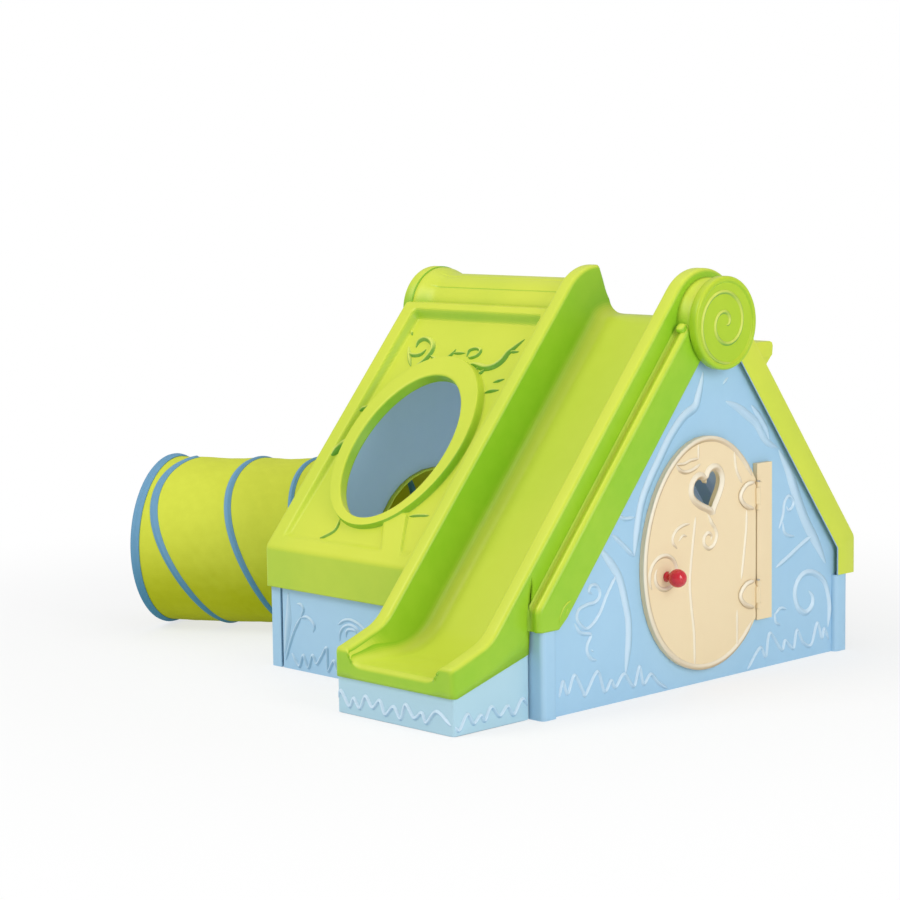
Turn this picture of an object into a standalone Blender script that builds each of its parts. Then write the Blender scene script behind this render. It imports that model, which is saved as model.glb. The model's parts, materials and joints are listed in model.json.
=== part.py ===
# Playhouse with a slide, a climbing wall, a round window, a swing door and a crawl tunnel.
# While drawing, +X points at the door gable, -Y at the foot of the slide and +Z up.
# The floor is z = 0, and x = 0 is the front of the door gable's corner posts.
# Every (y, z) pair below is a point in a slice across the house.

import math

import bmesh
import bpy
from mathutils import Vector

# House body
HOUSE_LENGTH = 1.010
HOUSE_HALF_WIDTH = 0.600
WALL = 0.005
SEAM = 0.0008
PANEL_RECESS = 0.015
TRAY_DEPTH = 0.035
POST_WIDTH = 0.052
POST_ROUND = 0.012

# Roof, as two planes that lean on circles about the ridge axis
RIDGE_Y = 0.050
RIDGE_Z = 0.924
EAVE_RADIUS = 0.030
FRONT_OVERHANG = 0.014
FRONT_EAVE_Z = 0.327
FRONT_LIP_Z = 0.218
FRONT_ROOF_REACH = 0.122
REAR_OVERHANG = 0.031
REAR_EAVE_Z = 0.312
REAR_LIP_Z = 0.211
REAR_ROOF_REACH = 0.0874
RAKE_PROUD = 0.004
FRONT_RAKE_DEPTH = 0.100
REAR_RAKE_DEPTH = 0.078

# Ridge
ROLL_RADIUS = 0.100
DISC_RADIUS = 0.119
DISC_THICK = 0.026
DISC_RIM = 0.013
DISC_DISH = 0.004
DISC_EDGE = 0.004
DOOR_DISC_GAP = 0.002
TUNNEL_DISC_GAP = 0.006
HUB_RADIUS = 0.030
BEAM_RADIUS = 0.014
BEAM_WALL = 0.0015
BEAM_OFFSET_Y = 0.035
SOCKET_WALL = 0.005
RUNNING_GAP = 0.0005

# Slide
SLIDE_LEFT = -0.455
SLIDE_RIGHT = -0.038
SLIDE_RUN_OUT = 0.250
SLIDE_RIM_WIDTH = 0.047
SLIDE_RIM_RISE = 0.015
SLIDE_BED_DEPTH = 0.115
SLIDE_BED_FILLET = 0.040
SLIDE_RIM_ROUND = 0.010
SLIDE_EXIT_Z = 0.130
SLIDE_EXIT_RIM_Z = 0.166
SLIDE_EXIT_RIM_SLOPE = math.radians(20)
SLIDE_EXIT_RADIUS = 0.160
SLIDE_RIM_BEND = 0.120
SADDLE_Z = 0.930
SADDLE_BEND = 0.060
SADDLE_END_Y = 0.105
SKIRT_FRONT_Z = 0.087
SKIRT_REAR_Z = 0.160
SKIRT_DEPTH = 0.045
SKIRT_END = 0.009
BASE_TUCK = 0.008
BASE_BACK_Z = 0.145
BASE_GAP = 0.006
SADDLE_HOOK = 0.014
SADDLE_HOOK_STEP = 0.006

# Shoulder that the slide panel carries over the door gable
SHOULDER_DEPTH = 0.035
SHOULDER_FACE = 0.130
SHOULDER_FOOT_INSET = 0.055
SHOULDER_CORNER = 0.030
SHOULDER_ROUND = 0.012

# Window panel
WINDOW_X = -0.714
WINDOW_UP = 0.350
WINDOW_HALF_WIDTH = 0.173
WINDOW_HALF_HEIGHT = 0.228
WINDOW_RING_WIDTH = 0.050
WINDOW_RING_LIFT = 0.022
WINDOW_RING_RISE = 0.006
WINDOW_WALL_DEPTH = 0.020
WINDOW_FOOT_DEPTH = 0.030
BORDER = 0.048
FIELD_DEPTH_LOW = 0.008
FIELD_DEPTH_HIGH = 0.026
LEDGE_Z = 0.950
FIELD_LOW = 0.050
FIELD_TOP_BORDER = 0.028
FIELD_SLOPE = 0.012
WINDOW_SPARE = 0.012
PANEL_EDGE_ROUND = 0.0035

# Climbing panel
RAIL_WIDTH = 0.070
CLIMB_DEPTH = 0.040
TREAD_TOP = 0.855
TREAD_PITCH = 0.2067
TREAD_COUNT = 4
TOP_TREAD_REACH = 0.153
TREAD_REACH = 0.087
TREAD_SET_BACK = 0.011
TREAD_NOSE = 0.045
TREAD_ROUND = 0.012
LOW_TREAD_TOP = 0.252
CLIMB_TOP_Z = 0.915
CLIMB_TOP_GAP = 0.004

# Door
DOOR_Y = 0.010
DOOR_Z = 0.337
DOOR_HALF_WIDTH = 0.245
DOOR_HALF_HEIGHT = 0.301
DOOR_TAPER = 0.06
DOOR_OVERLAP = 0.012
DOOR_SKIN = 0.005
HINGE_Y = 0.208
HINGE_X = 0.006
HINGE_SLIT = 0.003
HINGE_PLATE_END_Y = 0.272
HINGE_PLATE_LOW = 0.135
HINGE_PLATE_HIGH = 0.548
HINGE_HEIGHTS = (0.205, 0.465)
HINGE_SCREW_INSET = 0.022
HINGE_SCREW_END = 0.030
HINGE_SCREW_ABOVE = 0.060
HINGE_SCREW_BELOW = 0.045
STRAP_TIP_Y = 0.140
STRAP_HALF = 0.036
STRAP_RISE = 0.005
STRAP_INSET = 0.0012
KNUCKLE_RADIUS = 0.0065
KNUCKLE_HALF = 0.022
SIDE_KNUCKLE = 0.014
PIN_RADIUS = 0.0030
PIN_GAP = 0.0001
HEART_Y = 0.012
HEART_Z = 0.500
HEART_WIDTH = 0.108
HEART_TILT = math.radians(17)
KNOB_Y = -0.148
KNOB_Z = 0.296
KNOB_RADIUS = 0.0235
KNOB_NECK = 0.010
KNOB_REACH = 0.036
SCREW_RADIUS = 0.0020
SCREW_HEAD = 0.0042
SCREW_GAP = 0.0003

# Tunnel
TUNNEL_RADIUS = 0.245
TUNNEL_STANDOFF = 0.0395
TUNNEL_BEND_1_OUT = 0.240
TUNNEL_BEND_2_OUT = 0.398
TUNNEL_BEND_2_ASIDE = 0.252
TUNNEL_END_OUT = 0.678
TUNNEL_END_ASIDE = 0.370
CLOTH = 0.0016
WIRE_RADIUS = 0.0020
WIRE_PITCH = 0.2166
WIRE_LEAN = 0.030
WIRE_START = 0.012
WIRE_STEPS = 24
GATHER_END = 0.10
HEM_RADIUS = 0.0030
COLLAR_STEP = 0.019
COLLAR_FLANGE = 0.0045
COLLAR_LIP = 0.0200
COLLAR_CLEARANCE = 0.0010
SPIGOT_LENGTH = 0.028
SLEEVE = 0.030

ROUND_STEPS = 32
ARC_STEPS = 6


def clear_scene():
    """Remove whatever the start-up scene holds."""
    for item in list(bpy.data.objects):
        bpy.data.objects.remove(item, do_unlink=True)


def material(name, colour, roughness, metallic=0.0):
    """Make a Principled material."""
    result = bpy.data.materials.new(name)
    result.use_nodes = True
    shader = result.node_tree.nodes["Principled BSDF"]
    shader.inputs["Base Color"].default_value = (*colour, 1.0)
    shader.inputs["Roughness"].default_value = roughness
    shader.inputs["Metallic"].default_value = metallic
    return result


def place(mesh, name, paint, origin=(0.0, 0.0, 0.0)):
    """Put a mesh drawn in house coordinates into the scene, with its origin at a given point."""
    offset = Vector(origin)
    for vertex in mesh.vertices:
        vertex.co -= offset
    item = bpy.data.objects.new(name, mesh)
    item.location = offset
    item.data.materials.clear()
    item.data.materials.append(paint)
    bpy.context.scene.collection.objects.link(item)
    return item


def finish(shape, name):
    """Turn a bmesh into a mesh with outward faces."""
    bmesh.ops.recalc_face_normals(shape, faces=shape.faces[:])
    mesh = bpy.data.meshes.new(name)
    shape.to_mesh(mesh)
    shape.free()
    return mesh


def with_modifiers(mesh, settings):
    """Return a mesh with one or more modifiers applied to it."""
    item = bpy.data.objects.new("draft", mesh)
    bpy.context.scene.collection.objects.link(item)
    for kind, values in settings:
        modifier = item.modifiers.new(kind.lower(), kind)
        for key, value in values.items():
            setattr(modifier, key, value)
    graph = bpy.context.evaluated_depsgraph_get()
    result = bpy.data.meshes.new_from_object(item.evaluated_get(graph))
    bpy.data.objects.remove(item, do_unlink=True)
    return result


def combine(mesh, operation, tools):
    """Join, or cut away, a list of closed meshes."""
    for tool in tools:
        cutter = bpy.data.objects.new("tool", tool)
        bpy.context.scene.collection.objects.link(cutter)
        values = {"operation": operation, "object": cutter, "solver": "EXACT"}
        mesh = with_modifiers(mesh, [("BOOLEAN", values)])
        bpy.data.objects.remove(cutter, do_unlink=True)
    return mesh


def join(mesh, *tools):
    """Unite closed meshes into one body."""
    return combine(mesh, "UNION", tools)


def cut(mesh, *tools):
    """Cut closed meshes out of a body."""
    return combine(mesh, "DIFFERENCE", tools)


def along(axis, pair, position):
    """Place a flat point at a position along the axis that the flat drawing faces."""
    first, second = pair
    if axis == "x":
        return Vector((position, first, second))
    if axis == "y":
        return Vector((first, position, second))
    return Vector((first, second, position))


def prism(axis, outline, low, high, holes=()):
    """Extrude a flat outline, with any holes, between two positions on an axis."""
    shape = bmesh.new()
    edges = []
    for loop in (outline, *holes):
        corners = [shape.verts.new(along(axis, point, low)) for point in loop]
        for start, end in zip(corners, corners[1:] + corners[:1]):
            edges.append(shape.edges.new((start, end)))
    bmesh.ops.triangle_fill(shape, edges=edges, use_beauty=True)
    grown = bmesh.ops.extrude_face_region(shape, geom=shape.faces[:])
    moved = [item for item in grown["geom"] if isinstance(item, bmesh.types.BMVert)]
    shift = along(axis, (0.0, 0.0), high - low)
    bmesh.ops.translate(shape, verts=moved, vec=shift)
    return finish(shape, "prism")


def box(x_range, y_range, z_range):
    """Make a plain box."""
    (x0, x1), (y0, y1), (z0, z1) = x_range, y_range, z_range
    return prism("z", [(x0, y0), (x1, y0), (x1, y1), (x0, y1)], z0, z1)


def circle(first, second, radius, steps=ROUND_STEPS):
    """Points of a circle in a flat drawing."""
    turns = [math.tau * step / steps for step in range(steps)]
    return [(first + radius * math.cos(turn), second + radius * math.sin(turn)) for turn in turns]


def rod(axis, centre, radius, low, high, steps=ROUND_STEPS):
    """Make a round bar along an axis."""
    return prism(axis, circle(*centre, radius, steps), low, high)


def revolve(profile, centre, steps=ROUND_STEPS):
    """Spin (x, radius) points, which start and end on the axis, about a line along X."""
    y0, z0 = centre
    shape = bmesh.new()
    poles = [shape.verts.new((profile[end][0], y0, z0)) for end in (0, -1)]
    rings = []
    for x, radius in profile[1:-1]:
        rings.append([shape.verts.new((x, y, z)) for y, z in circle(y0, z0, radius, steps)])
    for step in range(steps):
        after = (step + 1) % steps
        shape.faces.new((poles[0], rings[0][step], rings[0][after]))
        shape.faces.new((poles[1], rings[-1][after], rings[-1][step]))
        for near, far in zip(rings, rings[1:]):
            shape.faces.new((near[step], far[step], far[after], near[after]))
    return finish(shape, "revolve")


def sheet(rows, thickness=WALL, outward=(0.0, 0.0, 1.0), wrap=False, even=True):
    """Make a moulded skin from a grid of points on its outer face; a tube has no one way out."""
    shape = bmesh.new()
    grid = [[shape.verts.new(point) for point in row] for row in rows]
    pairs = list(zip(grid, grid[1:]))
    if wrap:
        pairs.append((grid[-1], grid[0]))
    for lower, upper in pairs:
        for left in range(len(lower) - 1):
            right = left + 1
            shape.faces.new((lower[left], lower[right], upper[right], upper[left]))
    shape.normal_update()
    if outward is None:
        middle = sum((vertex.co for vertex in shape.verts), Vector()) / len(shape.verts)
        facing = 0.0
        for face in shape.faces:
            facing += face.normal.dot(face.calc_center_median() - middle) * face.calc_area()
    else:
        facing = sum(face.normal.dot(Vector(outward)) * face.calc_area() for face in shape.faces)
    if facing < 0:
        bmesh.ops.reverse_faces(shape, faces=shape.faces[:])
    mesh = bpy.data.meshes.new("skin")
    shape.to_mesh(mesh)
    shape.free()
    values = {"thickness": thickness, "offset": -1.0, "use_even_offset": even}
    return with_modifiers(mesh, [("SOLIDIFY", values)])


def tube(path, radius, sides):
    """Sweep a round section along a path, with rings that turn as little as they can."""
    shape = bmesh.new()
    rings = []
    side = None
    for index, point in enumerate(path):
        before = path[max(index - 1, 0)]
        after = path[min(index + 1, len(path) - 1)]
        ahead = (after - before).normalized()
        if side is None:
            side = ahead.cross(Vector((0.0, 0.0, 1.0)))
        side = (side - ahead * side.dot(ahead)).normalized()
        other = ahead.cross(side)
        ring = []
        for step in range(sides):
            turn = math.tau * step / sides
            spoke = math.cos(turn) * side + math.sin(turn) * other
            ring.append(shape.verts.new(point + radius * spoke))
        rings.append(ring)
    for near, far in zip(rings, rings[1:]):
        for step in range(sides):
            after = (step + 1) % sides
            shape.faces.new((near[step], near[after], far[after], far[step]))
    shape.faces.new(rings[0])
    shape.faces.new(rings[-1])
    return finish(shape, "tube")


def bend_path(points, radii, steps=ARC_STEPS):
    """Round the inner corners of a (y, z) line; every corner gives the same number of points."""
    corners = [Vector(point) for point in points]
    result = [corners[0]]
    for index, radius in enumerate(radii, start=1):
        before, corner, after = corners[index - 1:index + 2]
        back = (before - corner).normalized()
        ahead = (after - corner).normalized()
        half = math.acos(max(-1.0, min(1.0, back.dot(ahead)))) / 2
        reach = radius / math.tan(half)
        middle = (back + ahead).normalized()
        centre = corner + middle * radius / math.sin(half)
        start = corner + back * reach - centre
        sweep = start.angle_signed(corner + ahead * reach - centre)
        for step in range(steps + 1):
            turn = -sweep * step / steps
            cosine, sine = math.cos(turn), math.sin(turn)
            spoke = Vector((start.x * cosine - start.y * sine, start.x * sine + start.y * cosine))
            result.append(centre + spoke)
    result.append(corners[-1])
    return result


def spread(start, end, count):
    """Evenly spaced points from start to end, both included."""
    return [start + (end - start) * step / (count - 1) for step in range(count)]


class RoofSide:
    """One roof plane: its eave corner, its slope and the curved shoulder over the eave."""

    def __init__(self, sign, overhang, eave_z, lip_z, reach):
        self.sign = sign
        self.lip_z = lip_z
        self.eave = Vector((sign * (HOUSE_HALF_WIDTH + overhang), eave_z))
        ridge = Vector((RIDGE_Y, RIDGE_Z))
        gap = ridge - self.eave
        lift = math.asin(reach / gap.length)
        angle = math.atan2(gap.y, abs(gap.x)) + lift
        self.angle = angle
        self.up = Vector((-sign * math.cos(angle), math.sin(angle)))
        self.out = Vector((sign * math.sin(angle), math.cos(angle)))
        self.length = gap.length * math.cos(lift)

    def point(self, distance, depth=0.0):
        """A point some way up the slope, and some way below its outer face."""
        return self.eave + self.up * distance - self.out * depth

    def up_to(self, height, depth=0.0):
        """The distance up the slope at which a given depth reaches a height."""
        return (height + self.out.y * depth - self.eave.y) / self.up.y

    def corner(self, depth):
        """Where the lip's face and the slope meet, at a depth below both."""
        lip = Vector((self.sign, 0.0))
        return self.eave - (lip + self.out) * depth / (1.0 + lip.dot(self.out))

    def shoulder(self, depth, steps=ARC_STEPS):
        """The lip's foot and the rounded shoulder over it, at a depth below the outer face."""
        radius = max(EAVE_RADIUS - depth, 0.004)
        centre = self.corner(depth + radius)
        first = 0.0
        last = math.pi / 2 - self.angle
        foot = Vector((self.sign * (abs(self.eave.x) - depth), self.lip_z))
        points = [foot]
        for step in range(steps + 1):
            turn = first + (last - first) * step / steps
            points.append(centre + Vector((self.sign * math.cos(turn), math.sin(turn))) * radius)
        return points


SLIDE_FRONT = -(HOUSE_HALF_WIDTH + FRONT_OVERHANG + SLIDE_RUN_OUT)
SHOULDER_FOOT_Y = -(HOUSE_HALF_WIDTH - SHOULDER_FOOT_INSET)
COLLAR_HOLE = TUNNEL_RADIUS - COLLAR_STEP

FRONT = RoofSide(-1, FRONT_OVERHANG, FRONT_EAVE_Z, FRONT_LIP_Z, FRONT_ROOF_REACH)
REAR = RoofSide(1, REAR_OVERHANG, REAR_EAVE_Z, REAR_LIP_Z, REAR_ROOF_REACH)

PANEL_FACE_X = -PANEL_RECESS
TUNNEL_FACE_X = -HOUSE_LENGTH + PANEL_RECESS / 2
ROOF_END_X = -HOUSE_LENGTH
ROOF_SPLIT_X = SLIDE_LEFT - SEAM
BEAM_Y = RIDGE_Y + BEAM_OFFSET_Y
BEAM_Z = SADDLE_Z - WALL - RUNNING_GAP - BEAM_RADIUS
TUNNEL_Z = TUNNEL_RADIUS + HEM_RADIUS
TUNNEL_START = (TUNNEL_FACE_X - TUNNEL_STANDOFF, 0.0)
TUNNEL_BEND_1 = (TUNNEL_START[0] - TUNNEL_BEND_1_OUT, 0.0)
TUNNEL_BEND_2 = (TUNNEL_START[0] - TUNNEL_BEND_2_OUT, -TUNNEL_BEND_2_ASIDE)
TUNNEL_END = (TUNNEL_START[0] - TUNNEL_END_OUT, -TUNNEL_END_ASIDE)
DOOR_DISC_BACK = RAKE_PROUD + DOOR_DISC_GAP
TUNNEL_DISC_BACK = ROOF_END_X - TUNNEL_DISC_GAP


def at_x(x, pairs):
    """Stand a list of (y, z) points up at one x."""
    return [Vector((x, pair[0], pair[1])) for pair in pairs]


def turned(columns):
    """Swap columns of points for rows."""
    return [list(row) for row in zip(*columns)]


# Gables

def arc_about_ridge(radius, first, last, steps=12):
    """Points of an arc about the ridge axis; angles start at the top and grow toward +Y."""
    points = []
    for turn in spread(first, last, steps + 1):
        points.append((RIDGE_Y + radius * math.sin(turn), RIDGE_Z + radius * math.cos(turn)))
    return points


def gable_outline(front_depth, rear_depth, tongue, neck_z, inset=0.0):
    """The gable's outline: two short sides, two slopes and a round tongue under the ridge."""
    side = HOUSE_HALF_WIDTH - inset
    front_depth += inset
    rear_depth += inset
    tongue -= inset
    neck_z -= inset
    outline = [(-side, inset), (side, inset)]
    rear_low = REAR.eave + Vector((side - REAR.eave.x, 0.0))
    rear_rise = (REAR.eave.x - side) * math.tan(REAR.angle) - rear_depth / math.cos(REAR.angle)
    outline.append((side, rear_low.y + rear_rise))
    outline.append(tuple(REAR.point(REAR.up_to(neck_z, rear_depth), rear_depth)))
    swing = math.acos(max(-1.0, (neck_z - RIDGE_Z) / tongue))
    outline += arc_about_ridge(tongue, swing, -swing)
    outline.append(tuple(FRONT.point(FRONT.up_to(neck_z, front_depth), front_depth)))
    front_rise = (side + FRONT.eave.x) * math.tan(FRONT.angle) + front_depth / math.cos(FRONT.angle)
    outline.append((-side, FRONT.eave.y - front_rise))
    return outline


def tray(outline, inner, face_x, depth, holes=(), grown_holes=()):
    """A panel with one outer skin and a return flange all round; depth is signed, into the house."""
    body = prism("x", outline, *sorted((face_x, face_x + depth)), holes)
    step = math.copysign(WALL, depth)
    hollow = prism("x", inner, *sorted((face_x + step, face_x + depth * 2)), grown_holes)
    return cut(body, hollow)


def post(x_outer, depth, side, top):
    """A hollow corner post with rounded outer corners, open toward the inside of the house."""
    step = math.copysign(WALL, depth)
    near, far = side * HOUSE_HALF_WIDTH, side * (HOUSE_HALF_WIDTH - POST_WIDTH)
    x_inner = x_outer + depth
    corners = [(x_inner, near), (x_outer, near), (x_outer, far), (x_inner, far)]
    section = bend_path(corners, [POST_ROUND] * 2, 3)
    body = prism("z", section, 0.0, top)
    low_y, high_y = sorted((near, far))
    hollow_x = sorted((x_outer + step, x_outer + depth * 2))
    return body, box(hollow_x, (low_y + WALL, high_y - WALL), (WALL, top - WALL))


def gable(face_x, post_x, depth, outline_values, holes, grown_holes):
    """A gable panel with two corner posts and a socket for the ridge beam."""
    outline = gable_outline(*outline_values)
    inner = gable_outline(*outline_values, inset=WALL)
    panel = tray(outline, inner, face_x, depth, holes, grown_holes)
    sign = math.copysign(1.0, depth)
    for side, roof in ((-1, FRONT), (1, REAR)):
        body, hollow = post(post_x, depth + (face_x - post_x), side, roof.lip_z - SEAM)
        panel = join(panel, body)
        panel = cut(panel, hollow)
    ends = sorted((face_x + sign * WALL / 2, face_x + depth))
    socket_ring = circle(BEAM_Y, BEAM_Z, BEAM_RADIUS + RUNNING_GAP + SOCKET_WALL)
    bore = circle(BEAM_Y, BEAM_Z, BEAM_RADIUS + RUNNING_GAP)
    return join(panel, prism("x", socket_ring, *ends, [bore]))


def egg(growth=0.0, limit=None, steps=44):
    """The door's egg outline, grown or shrunk, and cut off straight at a limit in y."""
    points = []
    for step in range(steps):
        turn = math.tau * step / steps
        width = (DOOR_HALF_WIDTH + growth) * (1.0 - DOOR_TAPER * math.sin(turn))
        y = DOOR_Y + width * math.cos(turn)
        z = DOOR_Z + (DOOR_HALF_HEIGHT + growth) * math.sin(turn)
        points.append((y, z))
    if limit is None:
        return points
    return clip_right(points, limit)


def clip_right(points, limit):
    """Cut a closed outline off where y passes a limit."""
    result = []
    for start, end in zip(points, points[1:] + points[:1]):
        if start[0] <= limit:
            result.append(start)
        if (start[0] - limit) * (end[0] - limit) < 0:
            part = (limit - start[0]) / (end[0] - start[0])
            result.append((limit, start[1] + part * (end[1] - start[1])))
    return result


def heart(growth=0.0, steps=36):
    """A leaning heart outline, moved outward by a growth."""
    unit = HEART_WIDTH / 32
    points = []
    for step in range(steps):
        turn = math.tau * (step + 0.5) / steps
        across = 16 * math.sin(turn) ** 3 * unit
        waves = zip((13, -5, -2, -1), (1, 2, 3, 4))
        high = sum(size * math.cos(count * turn) for size, count in waves) * unit
        y = HEART_Y + across * math.cos(HEART_TILT) - high * math.sin(HEART_TILT)
        z = HEART_Z + across * math.sin(HEART_TILT) + high * math.cos(HEART_TILT)
        points.append(Vector((y, z)))
    middle = Vector((HEART_Y, HEART_Z))
    return [tuple(point + (point - middle).normalized() * growth) for point in points]


HINGE_SCREW_Y = HINGE_PLATE_END_Y - HINGE_SCREW_INSET
HINGE_SCREWS = [
    (HINGE_SCREW_Y, HINGE_PLATE_LOW + HINGE_SCREW_END),
    (HINGE_SCREW_Y, HINGE_HEIGHTS[0] + HINGE_SCREW_ABOVE),
    (HINGE_SCREW_Y, HINGE_HEIGHTS[1] - HINGE_SCREW_BELOW),
    (HINGE_SCREW_Y, HINGE_PLATE_HIGH - HINGE_SCREW_END),
]


def door_gable(paint):
    """The gable that holds the door."""
    opening_limit = HINGE_Y - 0.022
    values = (SHOULDER_DEPTH + 0.020, 0.020, 0.068, RIDGE_Z - 0.010)
    hole = egg(-DOOR_OVERLAP, opening_limit)
    grown = egg(-DOOR_OVERLAP + WALL, opening_limit + WALL)
    panel = gable(PANEL_FACE_X, 0.0, -TRAY_DEPTH, values, [hole], [grown])
    reach = (PANEL_FACE_X - 2 * WALL, PANEL_FACE_X + WALL)
    for centre in HINGE_SCREWS + [(RIDGE_Y, RIDGE_Z)]:
        panel = cut(panel, rod("x", centre, SCREW_RADIUS + SCREW_GAP, *reach, 12))
    return place(panel, "door_gable_panel", paint)


def tunnel_gable(paint):
    """The gable with the round hole that the tunnel starts at."""
    values = (0.012, 0.012, ROLL_RADIUS - WALL - 2 * RUNNING_GAP, RIDGE_Z - 0.020)
    centre = (TUNNEL_START[1], TUNNEL_Z)
    hole = circle(*centre, COLLAR_HOLE + COLLAR_FLANGE + COLLAR_CLEARANCE)
    panel = gable(TUNNEL_FACE_X, -HOUSE_LENGTH, TRAY_DEPTH, values, [hole], [])
    reach = (TUNNEL_FACE_X - WALL, TUNNEL_FACE_X + 2 * WALL)
    panel = cut(panel, rod("x", (RIDGE_Y, RIDGE_Z), SCREW_RADIUS + SCREW_GAP, *reach, 12))
    return place(panel, "tunnel_gable_panel", paint)


# Low walls under the eaves

def low_wall(name, x_range, side, top, paint):
    """A wall panel under an eave, with return flanges all round."""
    outer_y = side * (HOUSE_HALF_WIDTH - RUNNING_GAP)
    inner_y = side * (HOUSE_HALF_WIDTH - TRAY_DEPTH)
    body = box(x_range, sorted((outer_y, inner_y)), (0.0, top))
    hollow_y = sorted((outer_y - side * WALL, inner_y - side * WALL))
    hollow = box((x_range[0] + WALL, x_range[1] - WALL), hollow_y, (WALL, top - WALL))
    return place(cut(body, hollow), name, paint)


# Roof panels

def panel_columns(roof, left, right, edge_depth, field, top, rows):
    """Columns of a roof panel with rounded long edges and a sunk field inside its border."""
    turn = PANEL_EDGE_ROUND
    columns = [(left, edge_depth, False), (left, 3 * turn, False), (left + turn, turn, False)]
    columns += [(left + 3 * turn, 0.0, False), (left + BORDER, 0.0, False)]
    inner = left + BORDER + turn
    for x in spread(inner, right - 0.4 * BORDER - turn, 4):
        columns.append((x, 0.0, True))
    columns += [(right - 0.4 * BORDER, 0.0, False), (right - 3 * turn, 0.0, False)]
    columns += [(right - turn, turn, False), (right, 3 * turn, False), (right, SKIRT_DEPTH, False)]
    result = []
    for x, depth, sunk in columns:
        points = roof.shoulder(depth)
        for distance, share in rows:
            extra = field(distance) * share if sunk else 0.0
            points.append(roof.point(distance, depth + extra))
        if top is not None:
            points += top(depth)
        result.append(at_x(x, points))
    return result


def roll_limit(roof, reach, depth):
    """How far up a slope a skin at a depth may go before it meets the ridge cap."""
    clear = ROLL_RADIUS + RUNNING_GAP
    height = reach - depth - WALL
    if height >= clear:
        return roof.length
    return roof.length - math.sqrt(clear ** 2 - height ** 2)


def field_rows(low, high):
    """Distances up the slope, with the share of the field's depth that each one has."""
    return [(low, 0.0), (low + FIELD_SLOPE, 1.0), (high - FIELD_SLOPE, 1.0), (high, 0.0)]


def window_ring():
    """The raised ring round the window, hollow underneath."""
    rings = []
    steps = 40
    drops = [(0.0, 0.0088), (0.14, 0.0018), (0.36, 0.0), (0.64, 0.0), (0.86, 0.0033), (1.0, 0.011)]
    cross = [(share, WINDOW_RING_RISE - drop) for share, drop in drops]
    cross = [(0.0, -WINDOW_WALL_DEPTH)] + cross + [(1.0, -WINDOW_FOOT_DEPTH)]
    for step in range(steps):
        turn = math.tau * step / steps
        row = []
        for share, rise in cross:
            out = share * WINDOW_RING_WIDTH
            x = WINDOW_X + (WINDOW_HALF_WIDTH + out) * math.cos(turn)
            middle = WINDOW_UP + share * WINDOW_RING_LIFT
            distance = middle + (WINDOW_HALF_HEIGHT + out) * math.sin(turn)
            pair = FRONT.point(distance, -rise)
            row.append(Vector((x, pair.x, pair.y)))
        rings.append(row)
    return sheet(rings, outward=(0.0, FRONT.out.x, FRONT.out.y), wrap=True)


def window_cutter():
    """An upright oval bar through the panel, a little wider than the ring's own hole."""
    shape = bmesh.new()
    loops = []
    for depth in (-0.10, 0.10):
        loop = []
        for step in range(48):
            turn = math.tau * step / 48
            x = WINDOW_X + (WINDOW_HALF_WIDTH + WINDOW_SPARE) * math.cos(turn)
            distance = WINDOW_UP + (WINDOW_HALF_HEIGHT + WINDOW_SPARE) * math.sin(turn)
            pair = FRONT.point(distance, depth)
            loop.append(shape.verts.new((x, pair.x, pair.y)))
        loops.append(loop)
    for step in range(48):
        after = (step + 1) % 48
        shape.faces.new((loops[0][step], loops[0][after], loops[1][after], loops[1][step]))
    shape.faces.new(loops[0])
    shape.faces.new(loops[1])
    return finish(shape, "window_cutter")


def window_roof(paint):
    """The front roof panel with the round window."""
    top_distance = FRONT.up_to(LEDGE_Z)
    rows = field_rows(FIELD_LOW, top_distance - FIELD_TOP_BORDER)

    def field(distance):
        return FIELD_DEPTH_LOW + (FIELD_DEPTH_HIGH - FIELD_DEPTH_LOW) * distance / top_distance

    def ledge(depth):
        top = min(top_distance, roll_limit(FRONT, FRONT_ROOF_REACH, depth) - 0.004)
        edge = FRONT.point(top, depth)
        round_over = FRONT.point(top - 0.008, depth)
        if depth < SKIRT_DEPTH:
            roll_rise = edge.y - WALL - RIDGE_Z
            inner = Vector((RIDGE_Y - math.sqrt(ROLL_RADIUS ** 2 - roll_rise ** 2) - RUNNING_GAP, edge.y))
        else:
            inner = edge + Vector((0.005, 0.0))
        return [round_over, edge + Vector((0.003, 0.0)), inner]

    columns = panel_columns(FRONT, ROOF_END_X, ROOF_SPLIT_X, FRONT_RAKE_DEPTH, field, ledge, rows)
    panel = sheet(turned(columns), outward=(0.0, FRONT.out.x, FRONT.out.y))
    panel = cut(panel, window_cutter())
    panel = join(panel, window_ring())
    return place(panel, "window_roof_panel", paint)


def rear_roof(paint):
    """The rear roof panel beside the climbing wall."""
    top_distance = roll_limit(REAR, REAR_ROOF_REACH, 0.0)
    rows = field_rows(FIELD_LOW, top_distance - FIELD_TOP_BORDER)

    def field(distance):
        return FIELD_DEPTH_LOW

    def edge(depth):
        return [REAR.point(roll_limit(REAR, REAR_ROOF_REACH, depth), depth)]

    columns = panel_columns(REAR, ROOF_END_X, ROOF_SPLIT_X, REAR_RAKE_DEPTH, field, edge, rows)
    panel = sheet(turned(columns), outward=(0.0, REAR.out.x, REAR.out.y))
    return place(panel, "rear_roof_panel", paint)


# Climbing panel

def rake_height_y(height):
    """The y of the rear roof plane at a height."""
    return REAR.point(REAR.up_to(height)).x


def tread_reach(index):
    """How far a tread's nose stands out from the rear roof plane, counted from the top tread."""
    if index == 0:
        return TOP_TREAD_REACH
    return TREAD_REACH - TREAD_SET_BACK * (index - 1)


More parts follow.
